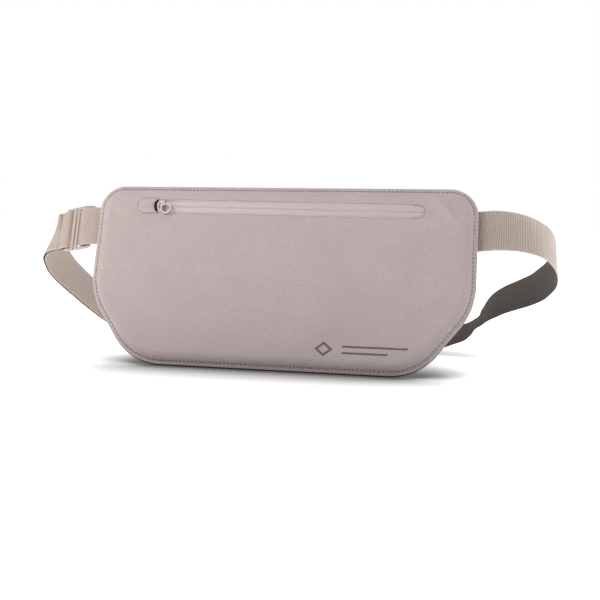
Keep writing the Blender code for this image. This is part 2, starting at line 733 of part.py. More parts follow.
def make_glide(parts, cutters, looks):
    """The adjuster: two rails, a bar inside for the belt's sewn end and two bars outside."""
    low_y, high_y = GLIDE_RAIL_FRONT - STRAIGHT_Y, GLIDE_RAIL_BACK - STRAIGHT_Y
    pieces = []
    for name, side in (("tri_glide", 1), ("glide_rail", -1)):
        inner, outer = sorted((side * ARM_INNER, side * ARM_OUTER))
        mesh = box_mesh(name, (-GLIDE_HALF_LENGTH, low_y, inner), (GLIDE_HALF_LENGTH, high_y, outer))
        look, group = (looks["buckle"], parts) if side > 0 else (None, cutters)
        rail = add_object(name, mesh, look, group)
        add_bevel(rail, 0.5 * MM)
        pieces.append(rail)
    glide = pieces.pop(0)
    reach = ARM_INNER + 0.6 * MM
    centre = (0, GLIDE_BAR_Y - STRAIGHT_Y, 0)
    pieces.append(
        add_object("glide_bar", cylinder_mesh("glide_bar", GLIDE_BAR_RADIUS, reach, centre, 16), None, cutters)
    )
    for name, side in (("outer_bar_left", -1), ("outer_bar_right", 1)):
        x = side * GLIDE_OUTER_BAR_X
        low = (x - 1.3 * MM, high_y - GLIDE_OUTER_BAR, -reach)
        high = (x + 1.3 * MM, high_y - 0.05 * MM, reach)
        bar = add_object(name, box_mesh(name, low, high), None, cutters)
        add_bevel(bar, 0.4 * MM)
        pieces.append(bar)
    for piece in pieces:
        add_boolean(glide, piece, "UNION")
    for obj in [glide] + pieces:
        obj.location = (GLIDE_X, STRAIGHT_Y, STRAIGHT_Z)


def make_glide_loop(parts, looks):
    """The belt's end, sewn round the adjuster's inner bar."""
    end = GLIDE_X - GLIDE_LOOP_LENGTH
    back_y = STRAIGHT_Y - INNER_PLY
    path = [(end, back_y), (GLIDE_X - 8 * MM, back_y), (GLIDE_X - 3 * MM, back_y + 0.02 * MM)]
    path += arc((GLIDE_X, GLIDE_BAR_Y), GLIDE_LOOP_RADIUS, 90, -90, 8)
    front_y = GLIDE_BAR_Y - GLIDE_LOOP_RADIUS
    path += [(GLIDE_X - 5 * MM, front_y), (GLIDE_X - 14 * MM, back_y - 1.6 * MM)]
    make_ribbon("glide_loop", upright_stations(path, STRAIGHT_Z), looks["webbing"], parts)


def lean_back(objects):
    """Leans the upright pieces back about the pouch's lower edge."""
    tilt = bpy.data.objects.new("pouch_lean", None)
    tilt.rotation_euler = (-LEAN, 0, 0)
    bpy.context.scene.collection.objects.link(tilt)
    for obj in objects:
        obj.parent = tilt


def make_looks():
    return {
        "panel_fabric": make_material("panel_fabric", (0.47, 0.40, 0.39), 0.75),
        "spacer_mesh": make_material("spacer_mesh", (0.07, 0.065, 0.065), 0.9),
        "liner_film": make_material("liner_film", (0.45, 0.45, 0.46), 0.4, 0.6),
        "lining": make_material("lining", (0.36, 0.33, 0.32), 0.8),
        "zip_laminate": make_material("zip_laminate", (0.60, 0.50, 0.50), 0.45),
        "coil": make_material("coil", (0.42, 0.36, 0.35), 0.5),
        "zip_metal": make_material("zip_metal", (0.52, 0.44, 0.43), 0.35, 0.5),
        "webbing": make_material("webbing", (0.46, 0.39, 0.35), 0.85),
        "thread": make_material("thread", (0.40, 0.34, 0.32), 0.8),
        "buckle": make_material("buckle", (0.38, 0.32, 0.29), 0.45),
    }


def main():
    clear_scene()
    parts = make_collection("money_belt")
    cutters = make_collection("cutters")
    looks = make_looks()
    make_panels(parts, cutters, looks)
    make_linings(parts, looks)
    make_zip(parts, looks)
    make_slider(parts, cutters, looks)
    make_puller(parts, cutters, looks)
    make_tab(parts, looks)
    make_hook_loop(parts, looks)
    make_tacks(parts, looks)
    make_frame(parts, cutters, looks)
    make_hook(parts, cutters, looks)
    lean_back(list(parts.objects) + list(cutters.objects))
    make_belt(parts, looks)
    make_glide(parts, cutters, looks)
    make_glide_loop(parts, looks)


main()
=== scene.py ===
"""Money belt: the looks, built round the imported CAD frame.

Every shape below is worked out in millimetres. The pouch's own pieces are given upright, as
(x, y, z) with y negative towards the front, and then leaned back about its lower edge.
"""

import math

import bmesh
import bpy
import numpy as np
from mathutils import Matrix, Vector, geometry, noise


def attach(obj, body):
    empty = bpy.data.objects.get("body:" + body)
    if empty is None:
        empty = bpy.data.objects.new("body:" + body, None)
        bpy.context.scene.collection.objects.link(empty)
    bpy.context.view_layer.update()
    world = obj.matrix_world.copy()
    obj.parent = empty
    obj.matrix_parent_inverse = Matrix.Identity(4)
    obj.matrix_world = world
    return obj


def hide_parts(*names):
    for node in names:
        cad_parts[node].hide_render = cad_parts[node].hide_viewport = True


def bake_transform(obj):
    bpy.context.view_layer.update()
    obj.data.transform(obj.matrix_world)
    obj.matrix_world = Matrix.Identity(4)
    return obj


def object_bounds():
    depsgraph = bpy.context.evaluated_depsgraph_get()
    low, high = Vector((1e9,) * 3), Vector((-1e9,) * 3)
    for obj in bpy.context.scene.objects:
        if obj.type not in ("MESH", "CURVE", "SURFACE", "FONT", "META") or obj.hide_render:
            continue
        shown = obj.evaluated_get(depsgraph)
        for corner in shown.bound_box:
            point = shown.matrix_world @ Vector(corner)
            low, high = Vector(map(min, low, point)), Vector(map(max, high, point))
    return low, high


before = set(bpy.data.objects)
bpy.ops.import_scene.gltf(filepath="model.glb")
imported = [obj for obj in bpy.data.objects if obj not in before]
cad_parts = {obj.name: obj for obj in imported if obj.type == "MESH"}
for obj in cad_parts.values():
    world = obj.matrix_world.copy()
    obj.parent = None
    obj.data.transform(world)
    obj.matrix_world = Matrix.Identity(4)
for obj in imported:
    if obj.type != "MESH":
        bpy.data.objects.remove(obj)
CAD_BOX = [list(corner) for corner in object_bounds()]

MM = 0.001
LEAN = math.radians(18.0)

# The pouch's outline, its corners anticlockwise from the top right: x, z, radius.
HEIGHT = 137.0
CORNERS = (
    (142.9, HEIGHT + 2.0, 20.1),
    (-142.0, HEIGHT - 0.9, 19.0),
    (-142.1, 50.6, 53.4),
    (-105.7, 0.0, 45.9),
    (104.0, 0.0, 43.0),
    (142.6, 50.0, 49.0),
)
STITCH_INSET, STITCH_PITCH, STITCH_RADIUS = 2.9, 3.0, 0.31
STITCH_SHOWN = (0.17, 0.83)
STITCH_ARCH = (-0.35, 0.12, 0.28, 0.33, 0.28, 0.12, -0.35)
# How far inside the edge each ring of a panel's points lies, and their spacing.
SEAM_RINGS = (
    (0.4, 1.2), (0.9, 1.2), (1.5, 0.9), (2.0, 0.75), (2.5, 0.75), (2.9, 0.75), (3.4, 0.75),
    (4.0, 0.9), (4.8, 1.2), (5.8, 1.4), (7.2, 1.6), (8.8, 1.8), (10.4, 2.0), (12.0, 2.1),
)
# A grid row's height as a share of its spacing, and twice the smallest triangle that is kept.
HEX_ROW, SLIVER = 0.866, 0.02
FRONT_RIM, FRONT_FACE = -1.85, -6.05
BACK_RIM, BACK_FACE = 0.75, 3.75
BACK_DROP = 0.55

# The zip. A lip's section gives the height off the middle, y, and how far the edge there rolls out.
ZIP_Z = 119.8
SLOT_LEFT, SLOT_RIGHT, SLOT_HALF = -98.5, 105.0, 5.4
LIP_LEFT, LIP_RIGHT, LIP_ROLL_END = -95.6, 107.0, 93.0
LIP_SECTION = (
    (6.9, -4.93, 0.0), (5.9, -4.95, 0.0), (5.42, -5.0, 0.0), (5.34, -5.0, 0.6), (5.15, -5.02, 0.9),
    (4.9, -5.03, 0.92), (4.65, -5.06, 0.66), (4.5, -5.1, 0.22), (4.3, -5.14, 0.02), (3.2, -5.14, 0.0),
    (2.0, -5.15, 0.0), (1.1, -5.15, 0.0), (0.5, -5.14, 0.0), (0.015, -5.11, 0.0),
)
COIL_START, COIL_PITCH, COIL_TURNS, COIL_RADIUS = -96.8, 1.2, 164, 0.40
COIL_Y, COIL_OFF_MIDDLE = -3.55, 1.5
GARAGE_LEFT, GARAGE_RIGHT, GARAGE_HALF = -111.3, -97.3, 6.0
MOUTH_RADIUS, MOUTH_SHIFT = 6.2, 5.3
# Share of the garage's outline and y, from its edge up to its middle.
GARAGE_LEVELS = (
    (0.97, -6.08), (1.0, -6.12), (0.985, -6.42), (0.95, -6.66), (0.86, -6.90), (0.6, -7.08), (0.3, -7.12),
)
# The slider's plates taper to the left of an x. What stands in front of them doesn't.
TAPER_X, TAPER_LENGTH, PLATES_FRONT_Y = -92.4, 3.6, -7.3

# The webbing and what it runs through.
WEB_Z, WEB_RIGHT_Z = 106.0, 108.8
WEB_BACK_Y = 4.65
WEB_SEWN_END = 116.0
OUTER_PLY, INNER_PLY = -0.9, 0.75
RIB_PITCH = 1.3
BUCKLE_X, BUCKLE_Y, BUCKLE_TURN = -149.0, 5.5, math.radians(151.0)
ARM_OFF, ARM_LENGTH, ARM_BOW, ARM_THINNED = 15.4, 32.0, 0.55, 0.6
GLIDE_X, GLIDE_BAR_Y, STRAIGHT_Y, STRAIGHT_Z = -40.0, 122.6, 125.0, 18.3
BELT_START, BELT_SPLIT_X = 0.1, -150.0
# The belt's middle line, from the hook round the waist: x, y, z and its turn about itself in degrees.
BELT_ROUTE = (
    (-195.9, 71.0, 86.5, 28), (-200.4, 80.0, 80.9, 26), (-201.8, 89.0, 72.4, 12),
    (-199.7, 97.0, 63.4, -7), (-195.2, 104.0, 55.2, -24), (-188.4, 110.0, 46.9, -36),
    (-179.9, 115.0, 38.2, -43), (-168.5, 119.4, 29.4, -42), (-155.0, 122.8, 22.4, -30),
    (-141.5, 124.6, 19.1, -13), (-127.0, 125.0, 18.3, -2), (-110.0, 125.0, 18.3, 0),
    (-90.0, 125.0, 18.3, 0), (-48.0, 125.0, 18.3, 0), (-6.0, 125.0, 18.3, 0),
    (36.0, 125.0, 18.3, 0), (62.0, 125.3, 16.4, -2), (84.0, 125.8, 14.9, -9),
    (100.0, 126.0, 14.0, -24), (113.5, 126.0, 14.2, -44), (126.0, 125.5, 15.8, -60),
    (137.0, 124.2, 18.4, -68), (144.0, 122.2, 23.6, -66), (149.6, 119.0, 31.0, -58),
    (156.8, 115.0, 39.6, -50), (166.4, 110.5, 46.8, -44), (177.2, 105.0, 52.2, -39),
    (187.8, 98.0, 57.8, -31), (196.2, 90.0, 65.0, -18), (200.8, 80.0, 73.6, -3),
    (200.8, 70.0, 82.6, 8), (196.8, 61.0, 90.2, 18), (189.2, 53.0, 96.4, 25),
    (179.2, 46.5, 100.6, 25), (168.0, 42.0, 102.9, 22), (155.0, 39.2, 103.4, 18),
)
# Steps from one place of the route to the next, and steps over which its turn sets in.
FINE = 16
EASED = 5 * FINE / 3

# Bartacks, and the printed mark: its bars' ends and heights, and its lozenge.
TACK_X, TACK_Y, TACK_HALF, TACK_REACH, TACK_RISE, TACK_STEPS = 122.0, 5.62, 1.4, 13.6, 0.45, 60
MARK_BARS = ((50.0, 96.0, 18.8), (50.0, 82.0, 14.2))
BAR_SLANT, BAR_HALF = 1.4, 0.7
LOZENGE, LOZENGE_REACH, LOZENGE_STROKE, LOZENGE_WIDEN = (37.5, 16.5), 5.2, 1.9, 1.25
MARK_ROWS, MARK_COLUMNS = 4, 30


# -------------------- materials


class Look:
    """A node material built round one Principled shader. Its coordinates are in millimetres."""

    def __init__(self, name, own_coordinates, **plain):
        self.material = bpy.data.materials.new(name)
        self.material.use_nodes = True
        self.tree = self.material.node_tree
        self.shader = self.tree.nodes["Principled BSDF"]
        for socket, value in plain.items():
            self.shader.inputs[socket.replace("_", " ")].default_value = value
        if own_coordinates:
            self.place = self.add("Attribute", attribute_name="cloth").outputs["Vector"]
        else:
            world = self.add("TexCoord").outputs["Object"]
            self.place = self.add("VectorMath", {0: world, "Scale": 1000.0}, operation="SCALE").outputs[0]
        parts = self.add("SeparateXYZ", {0: self.place})
        self.u, self.v, self.w = parts.outputs
        self.normal = None

    def add(self, kind, inputs=(), **settings):
        node = self.tree.nodes.new("ShaderNode" + kind)
        for key, value in settings.items():
            setattr(node, key, value)
        for key, value in dict(inputs).items():
            if isinstance(value, bpy.types.NodeSocket):
                self.tree.links.new(value, node.inputs[key])
            else:
                node.inputs[key].default_value = value
        return node

    def math(self, operation, a, b=0.0):
        return self.add("Math", {0: a, 1: b}, operation=operation).outputs[0]

    def wave(self, value, pitch, shift=0.0):
        """A sine of -1 to 1 along a coordinate."""
        turns = self.math("MULTIPLY", value, 2 * math.pi / pitch)
        return self.math("SINE", self.math("ADD", turns, shift))

    def noise(self, scale, detail=2.0, stretch=(1.0, 1.0, 1.0)):
        """Noise of 0 to 1, with scale in waves per millimetre."""
        place = self.add("VectorMath", {0: self.place, 1: stretch}, operation="MULTIPLY").outputs[0]
        return self.add("TexNoise", {"Vector": place, "Scale": scale, "Detail": detail}).outputs[0]

    def spread(self, value, low, high, start=0.0, end=1.0):
        """A value from low to high as the input goes from start to end."""
        inputs = {"Value": value, "From Min": start, "From Max": end, "To Min": low, "To Max": high}
        return self.add("MapRange", inputs).outputs[0]

    def mix(self, factor, a, b, blend="MIX"):
        a, b = [(*c, 1.0) if isinstance(c, tuple) else c for c in (a, b)]
        return self.add("Mix", {0: factor, 6: a, 7: b}, data_type="RGBA", blend_type=blend).outputs[2]

    def bump(self, height, depth, strength=1.0):
        """Raises the surface by the height times a depth in millimetres."""
        inputs = {"Height": height, "Distance": depth * MM, "Strength": strength}
        if self.normal is not None:
            inputs["Normal"] = self.normal
        self.normal = self.add("Bump", inputs).outputs[0]

    def done(self, colour, roughness):
        links = self.tree.links
        links.new(colour, self.shader.inputs["Base Color"])
        links.new(roughness, self.shader.inputs["Roughness"])
        if self.normal is not None:
            links.new(self.normal, self.shader.inputs["Normal"])
        return self.material


def shade(colour, factor):
    return tuple(channel * factor for channel in colour)


def coated_fabric(name, colour, own=True):
    """Fine plain-woven polyester with a matt coating."""
    look = Look(name, own, Sheen_Weight=0.08, Sheen_Roughness=0.45, Specular_IOR_Level=0.35)
    weave = look.math("MULTIPLY", look.wave(look.u, 0.62), look.wave(look.v, 0.62))
    slub = look.noise(0.9, 3.0, (1.0, 0.25, 1.0))
    cloud = look.noise(0.03, 4.0)
    grain = look.noise(0.85, 2.0, (1.0, 0.7, 1.0))
    base = look.mix(look.spread(cloud, 0.0, 1.0, 0.3, 0.7), shade(colour, 0.95), shade(colour, 1.04))
    base = look.mix(look.spread(grain, 0.0, 0.8, 0.40, 0.74), base, shade(colour, 0.78))
    base = look.mix(look.spread(slub, 0.0, 0.30, 0.35, 0.75), base, shade(colour, 0.84))
    base = look.mix(look.spread(weave, 0.10, 0.0, -1.0, 0.2), base, shade(colour, 0.72))
    if own:
        # Lighter along the curled rim, within 1.2 mm of the edge: partly wear, partly a painted highlight
        # on the rolled edge.
        rim_wear_and_highlight = look.spread(look.w, 0.35, 0.0, 0.0, 1.2)
        base = look.mix(rim_wear_and_highlight, base, shade(colour, 1.12))
    look.bump(look.noise(0.16, 3.0), 0.16, 0.6)
    look.bump(slub, 0.035, 0.7)
    look.bump(weave, 0.022, 0.8)
    return look.done(base, look.spread(slub, 0.62, 0.80, 0.3, 0.7))


def spacer_mesh(name, colour):
    """Knitted air mesh with rows of small round holes."""
    look = Look(name, True, Sheen_Weight=0.15)
    turned = look.add("VectorRotate", {"Vector": look.place, "Angle": math.pi / 4}, rotation_type="Z_AXIS")
    flat = look.add("VectorMath", {0: turned.outputs[0], 1: (1.0, 1.0, 0.0)}, operation="MULTIPLY")
    holes = look.add(
        "TexVoronoi", {"Vector": flat.outputs[0], "Scale": 0.52, "Randomness": 0.0}, voronoi_dimensions="2D"
    )
    open_part = look.spread(holes.outputs["Distance"], 1.0, 0.0, 0.20, 0.32)
    yarn = look.math("MULTIPLY", look.wave(look.u, 0.55), look.wave(look.v, 0.8))
    base = look.mix(look.noise(0.05, 3.0), shade(colour, 0.85), shade(colour, 1.2))
    base = look.mix(look.spread(yarn, 0.25, 0.0, -1.0, 0.6), base, shade(colour, 0.5))
    base = look.mix(open_part, base, shade(colour, 0.16))
    look.bump(look.math("SUBTRACT", 1.0, open_part), 0.5)
    look.bump(yarn, 0.06)
    return look.done(base, look.spread(look.noise(0.8), 0.75, 0.95))


def webbing_look(name, colour):
    """Elastic webbing: fine ribs across it, yarns between them, a smoother edge and a darker back. The
    back's darkness is partly its own colour and partly painted shade, and painted shade darkens the grooves
    between the ribs.
    """
    look = Look(name, True, Sheen_Weight=0.2, Sheen_Roughness=0.4)
    rib = look.spread(look.wave(look.u, RIB_PITCH, math.pi / 2), 0.0, 1.0, -1.0, 1.0)
    yarn = look.math("MULTIPLY", look.wave(look.u, RIB_PITCH, 0.7), look.wave(look.v, 0.9))
    edge = look.spread(look.math("ABSOLUTE", look.v), 0.0, 1.0, 13.4, 14.3)
    cloud = look.noise(0.12, 3.0)
    base = look.mix(cloud, shade(colour, 0.93), shade(colour, 1.07))
    base = look.mix(look.math("MULTIPLY", edge, 0.75), base, shade(colour, 1.22))
    # The back face is mixed to a dark brown that is partly its own colour and partly painted shade.
    base = look.mix(look.spread(look.w, 0.0, 0.9, 0.45, 0.55), base, BACK_OF_WEB_AND_PAINTED_SHADE)
    # Painted shade in the grooves between the ribs.
    base = look.mix(look.spread(rib, 0.8, 0.0, 0.0, 0.9), base, (0.40, 0.38, 0.37), "MULTIPLY")
    base = look.mix(look.spread(yarn, 0.30, 0.0, -1.0, 0.4), base, (0.5, 0.5, 0.5), "MULTIPLY")
    look.bump(yarn, 0.22, 0.9)
    look.bump(look.noise(1.4, 2.0), 0.12, 0.7)
    return look.done(base, look.spread(cloud, 0.72, 0.9))


def laminate(name, colour):
    """The zip's laminated tape: satin film, paler along its edges, faintly rippled. The paler edges are a
    painted highlight on the rolled edges, and the darker middle is painted shade where the lips meet.
    """
    look = Look(name, True, Coat_Weight=0.12, Coat_Roughness=0.35, Sheen_Weight=0.1)
    across = look.math("ABSOLUTE", look.v)
    ripple = look.noise(0.35, 3.0, (0.35, 1.6, 1.0))
    grain = look.math("MULTIPLY", look.wave(look.u, 0.7), look.wave(look.v, 0.7))
    base = look.mix(ripple, shade(colour, 0.94), shade(colour, 1.05))
    # Painted shade along the middle, where the two lips meet.
    base = look.mix(look.spread(across, 0.35, 0.0, 0.3, 1.6), base, shade(colour, 0.85))
    # Painted highlight along the rolled edges.
    base = look.mix(look.spread(across, 0.0, 0.6, 4.2, 4.9), base, shade(colour, 1.12))
    look.bump(ripple, 0.3, 0.7)
    look.bump(grain, 0.02, 0.7)
    return look.done(base, look.spread(ripple, 0.38, 0.55))


def moulded_plastic(name, colour):
    """Acetal with a spark-eroded finish."""
    look = Look(name, False, Specular_IOR_Level=0.45)
    fine = look.noise(3.0, 2.0)
    cloud = look.noise(0.2, 3.0)
    base = look.mix(cloud, shade(colour, 0.93), shade(colour, 1.08))
    look.bump(fine, 0.035, 0.6)
    look.bump(cloud, 0.15, 0.3)
    return look.done(base, look.spread(fine, 0.34, 0.5))


def cast_alloy(name, colour):
    """Painted zinc casting."""
    look = Look(name, False, Metallic=0.2, Coat_Weight=0.15, Coat_Roughness=0.25)
    fine = look.noise(2.5, 3.0)
    base = look.mix(look.spread(fine, 0.0, 0.5, 0.35, 0.7), colour, shade(colour, 0.86))
    look.bump(fine, 0.03, 0.5)
    return look.done(base, look.spread(fine, 0.28, 0.42))


def twisted_thread(name, colour):
    """Thread of two twisted strands. u runs along it and v round it."""
    look = Look(name, True, Sheen_Weight=0.3)
    ply = look.wave(look.math("ADD", look.u, look.math("MULTIPLY", look.v, 0.8)), 0.5)
    base = look.mix(look.spread(ply, 0.0, 1.0, -1.0, 1.0), shade(colour, 0.7), shade(colour, 1.15))
    look.bump(ply, 0.05)
    look.bump(look.noise(4.0), 0.02)
    return look.done(base, look.spread(ply, 0.6, 0.8, -1.0, 1.0))


def lining_look(name, colour, metallic):
    """Thin ripstop lining."""
    look = Look(name, True, Metallic=metallic)
    lines = look.math("MAXIMUM", look.wave(look.u, 4.0), look.wave(look.v, 4.0))
    grid = look.spread(lines, 0.0, 1.0, 0.93, 0.99)
    base = look.mix(look.noise(0.1, 3.0), shade(colour, 0.9), shade(colour, 1.1))
    base = look.mix(look.math("MULTIPLY", grid, 0.4), base, shade(colour, 0.6))
    look.bump(grid, 0.08)
    look.bump(look.noise(0.25, 3.0), 0.5, 0.6)
    return look.done(base, look.spread(look.noise(0.6), 0.45, 0.65))


def shader_node(tree, kind, **values):
    """A node with its inputs set. Underscores stand for spaces."""
    node = tree.nodes.new("ShaderNode" + kind)
    for socket, value in values.items():
        node.inputs[socket.replace("_", " ")].default_value = value
    return node


def pale_floor():
    """Paper floor, white, glowing faintly near the object and fully away from it so that its edge doesn't
    show. Near the object an occlusion reading darkens its colour: painted contact shade.
    """
    material = bpy.data.materials.new("floor")
    material.use_nodes = True
    tree = material.node_tree
    shader = tree.nodes["Principled BSDF"]
    shader.inputs["Roughness"].default_value = 0.9
    shader.inputs["Emission Color"].default_value = (1.0, 1.0, 1.0, 1.0)
    place = shader_node(tree, "TexCoord")
    reach = shader_node(tree, "VectorMath")
    reach.operation = "LENGTH"
    glow = shader_node(tree, "MapRange", From_Min=0.12, From_Max=0.22, To_Min=0.04, To_Max=1.0)
    contact = shader_node(tree, "AmbientOcclusion", Distance=0.055)
    # Paper white, darkened by an occlusion reading near the object: painted contact shade.
    paper_with_painted_shade = shader_node(tree, "MapRange", From_Min=0.62, From_Max=1.0, To_Min=0.12, To_Max=0.9)
    tree.links.new(contact.outputs["AO"], paper_with_painted_shade.inputs["Value"])
    tree.links.new(paper_with_painted_shade.outputs[0], shader.inputs["Base Color"])
    tree.links.new(place.outputs["Object"], reach.inputs[0])
    tree.links.new(reach.outputs["Value"], glow.inputs["Value"])
    tree.links.new(glow.outputs[0], shader.inputs["Emission Strength"])
    return material


FABRIC = (0.366, 0.308, 0.299)
# Dark brown of the webbing's back: partly its own colour, partly painted shade.
BACK_OF_WEB_AND_PAINTED_SHADE = (0.080, 0.060, 0.046)
LOOKS = {
    "fabric": coated_fabric("coated_fabric", FABRIC),
    "mesh": spacer_mesh("spacer_mesh", (0.085, 0.072, 0.070)),
    "webbing": webbing_look("ribbed_webbing", (0.520, 0.425, 0.365)),
    "laminate": laminate("zip_laminate", (0.392, 0.322, 0.319)),
    "plastic": moulded_plastic("buckle_plastic", (0.350, 0.288, 0.258)),
    "alloy": cast_alloy("zip_alloy", (0.390, 0.325, 0.318)),
    # Near-black stops: painted shade for the gap between the garage and the slider.
    "stop": cast_alloy("stop_painted_shade", (0.100, 0.080, 0.080)),
    "nylon": moulded_plastic("zip_nylon", (0.330, 0.280, 0.270)),
    "thread": twisted_thread("seam_thread", (0.190, 0.152, 0.150)),
    "tack": twisted_thread("tack_thread", (0.330, 0.270, 0.240)),
    "piping": twisted_thread("edge_cord", (0.250, 0.180, 0.160)),
    "film": lining_look("liner_film", (0.450, 0.450, 0.460), 0.5),
    "lining": lining_look("pocket_lining", (0.300, 0.270, 0.265), 0.0),
    "ink": coated_fabric("printed_ink", (0.120, 0.090, 0.090)),
}


# -------------------- mesh tools


def unit(vectors):
    vectors = np.asarray(vectors, float)
    return vectors / np.linalg.norm(vectors, axis=-1, keepdims=True)


def smooth(value):
    value = np.clip(value, 0.0, 1.0)
    return value * value * (3 - 2 * value)


def lean(points):
    """Upright places or directions as they are once the pouch leans back."""
    points = np.asarray(points, float)
    x, y, z = points[..., 0], points[..., 1], points[..., 2]
    c, s = math.cos(LEAN), math.sin(LEAN)
    return np.stack([x, c * y + s * z, c * z - s * y], axis=-1)


def resample(points, spacing, closed=False):
    """Evenly spaced points along a line."""
    line = np.asarray(points, float)
    if closed:
        line = np.vstack([line, line[:1]])
    along = np.concatenate([[0.0], np.cumsum(np.linalg.norm(np.diff(line, axis=0), axis=1))])
    places = np.linspace(0.0, along[-1], max(2, round(along[-1] / spacing)) + 1)
    if closed:
        places = places[:-1]
    return np.column_stack([np.interp(places, along, column) for column in line.T])


def catmull_rom(points, steps):
    """A smooth curve through points."""
    line = np.asarray(points, float)
    line = np.vstack([2 * line[0] - line[1], line, 2 * line[-1] - line[-2]])
    t = np.arange(steps)[:, None] / steps
    pieces = []
    for p0, p1, p2, p3 in zip(line, line[1:], line[2:], line[3:]):
        bend = 2 * p0 - 5 * p1 + 4 * p2 - p3
        pieces.append((2 * p1 + (p2 - p0) * t + bend * t**2 + (3 * p1 - p0 - 3 * p2 + p3) * t**3) / 2)
    return np.vstack([*pieces, line[-2:-1]])


def arc(centre, radius, start, end, steps):
    angles = np.radians(np.linspace(start, end, steps + 1))
    return np.column_stack([centre[0] + radius * np.cos(angles), centre[1] + radius * np.sin(angles)])


def ripple(x, z, scale, seed):
    """Smooth noise of about -1 to 1 at each point."""
    return np.array([noise.noise(Vector((a * scale, b * scale, seed))) for a, b in zip(x, z)])


def add_piece(name, points, faces, look, cloth=None, closed=True):
    """A mesh object from points in millimetres, already in the row frame."""
    mesh = bpy.data.meshes.new(name)
    mesh.from_pydata((np.asarray(points, float) * MM).tolist(), [], [list(map(int, f)) for f in faces])
    if cloth is not None:
        layer = mesh.attributes.new("cloth", "FLOAT_VECTOR", "POINT")
        layer.data.foreach_set("vector", np.asarray(cloth, np.float32).ravel())
    if closed:
        bm = bmesh.new()
        bm.from_mesh(mesh)
        bmesh.ops.recalc_face_normals(bm, faces=bm.faces)
        bm.to_mesh(mesh)
        bm.free()
    mesh.materials.append(LOOKS[look])
    mesh.shade_smooth()
    obj = bpy.data.objects.new(name, mesh)
    bpy.context.scene.collection.objects.link(obj)
    return obj


def thicken(obj, thickness):
    solidify = obj.modifiers.new("thickness", "SOLIDIFY")
    solidify.thickness = thickness * MM
    solidify.offset = -1.0


def at_depth(flat, y):
    """(x, z) points as upright places at a y."""
    return np.column_stack([flat[:, 0], np.broadcast_to(y, len(flat)), flat[:, 1]])


def grid_faces(rows, columns, start=0):
    """The faces between rows of points."""
    corners = [start + r * columns + k for r in range(rows - 1) for k in range(columns - 1)]
    return [(here, here + 1, here + columns + 1, here + columns) for here in corners]


def ring_faces(rings, sides, start=0, closed=False):
    """The faces between rings of points, with a cap at each end of an open row."""
    faces = []
    for row in range(rings if closed else rings - 1):
        here, there = start + row * sides, start + (row + 1) % rings * sides
        for k in range(sides):
            after = (k + 1) % sides
            faces.append((here + k, here + after, there + after, there + k))
    if not closed:
        faces.append(range(start, start + sides))
        faces.append(range(start + (rings - 1) * sides, start + rings * sides))
    return faces


def pouch_outline(inset, spacing):
    """The pouch's rounded outline as (x, z), moved in by a distance."""
    points = []
    for index, (x, z, radius) in enumerate(CORNERS):
        here = np.array((x, z))
        before = unit(here - np.array(CORNERS[index - 1][:2]))
        after = unit(np.array(CORNERS[(index + 1) % len(CORNERS)][:2]) - here)
        turn = math.acos(float(before @ after))
        inward = np.array((-before[1], before[0]))
        centre = here - before * radius * math.tan(turn / 2) + inward * radius
        start = math.degrees(math.atan2(-inward[1], -inward[0]))
        points.append(arc(centre, radius - inset, start, start + math.degrees(turn), 20))
    return resample(np.vstack(points), spacing, closed=True)


def depth_in(points, line):
    """How deep points are inside a convex outline, and how far round it their nearest edge is."""
    edges = np.roll(line, -1, axis=0) - line
    lengths = np.linalg.norm(edges, axis=1)
    normals = np.column_stack([-edges[:, 1], edges[:, 0]]) / lengths[:, None]
    depths = points @ normals.T - (line * normals).sum(axis=1)
    nearest = depths.argmin(axis=1)
    along = ((points - line[nearest]) * edges[nearest]).sum(axis=1) / lengths[nearest]
    return depths.min(axis=1), np.concatenate([[0.0], np.cumsum(lengths)])[nearest] + along


def slot_gap(x, z):
    """How far outside the zip's slot a point is."""
    past = np.maximum(x - (SLOT_RIGHT - SLOT_HALF), 0.0)
    return np.maximum(np.hypot(past, z - ZIP_Z) - SLOT_HALF, SLOT_LEFT - x)


def slot_ring(grow, spacing=1.1, closed=True):
    half = SLOT_HALF + grow
    left = SLOT_LEFT - grow
    end = arc((SLOT_RIGHT - SLOT_HALF, ZIP_Z), half, -90, 90, 24)
    return resample(np.vstack([(left, ZIP_Z - half), end, (left, ZIP_Z + half)]), spacing, closed)


def hex_grid(line, spacing, margin):
    """Points in offset rows inside a convex outline."""
    low, high = line.min(axis=0), line.max(axis=0)
    rows = []
    for index, z in enumerate(np.arange(low[1], high[1], spacing * HEX_ROW)):
        x = np.arange(low[0] + (index % 2) * spacing / 2, high[0], spacing)
        rows.append(np.column_stack([x, np.full(len(x), z)]))
    grid = np.vstack(rows)
    return grid[depth_in(grid, line)[0] > margin]


def fill(boundary, inside, hole=None):
    """Triangles over a convex outline through the points inside it, leaving out the slot."""
    count = len(boundary)
    edges = [(i, (i + 1) % count) for i in range(count)]
    points = [boundary]
    if hole is not None:
        edges += [(count + i, count + (i + 1) % len(hole)) for i in range(len(hole))]
        points.append(hole)
    points = np.vstack([*points, inside])
    made = geometry.delaunay_2d_cdt([Vector(p) for p in points], edges, [], 0, 1e-6)
    flat = np.array([tuple(p) for p in made[0]])
    faces = np.array([face for face in made[2] if len(face) == 3])
    a, b = flat[faces[:, 1]] - flat[faces[:, 0]], flat[faces[:, 2]] - flat[faces[:, 0]]
    faces = faces[np.abs(a[:, 0] * b[:, 1] - a[:, 1] * b[:, 0]) > SLIVER]
    if hole is not None:
        middle = flat[faces].mean(axis=1)
        faces = faces[slot_gap(middle[:, 0], middle[:, 1]) > 0.0]
    return flat, faces


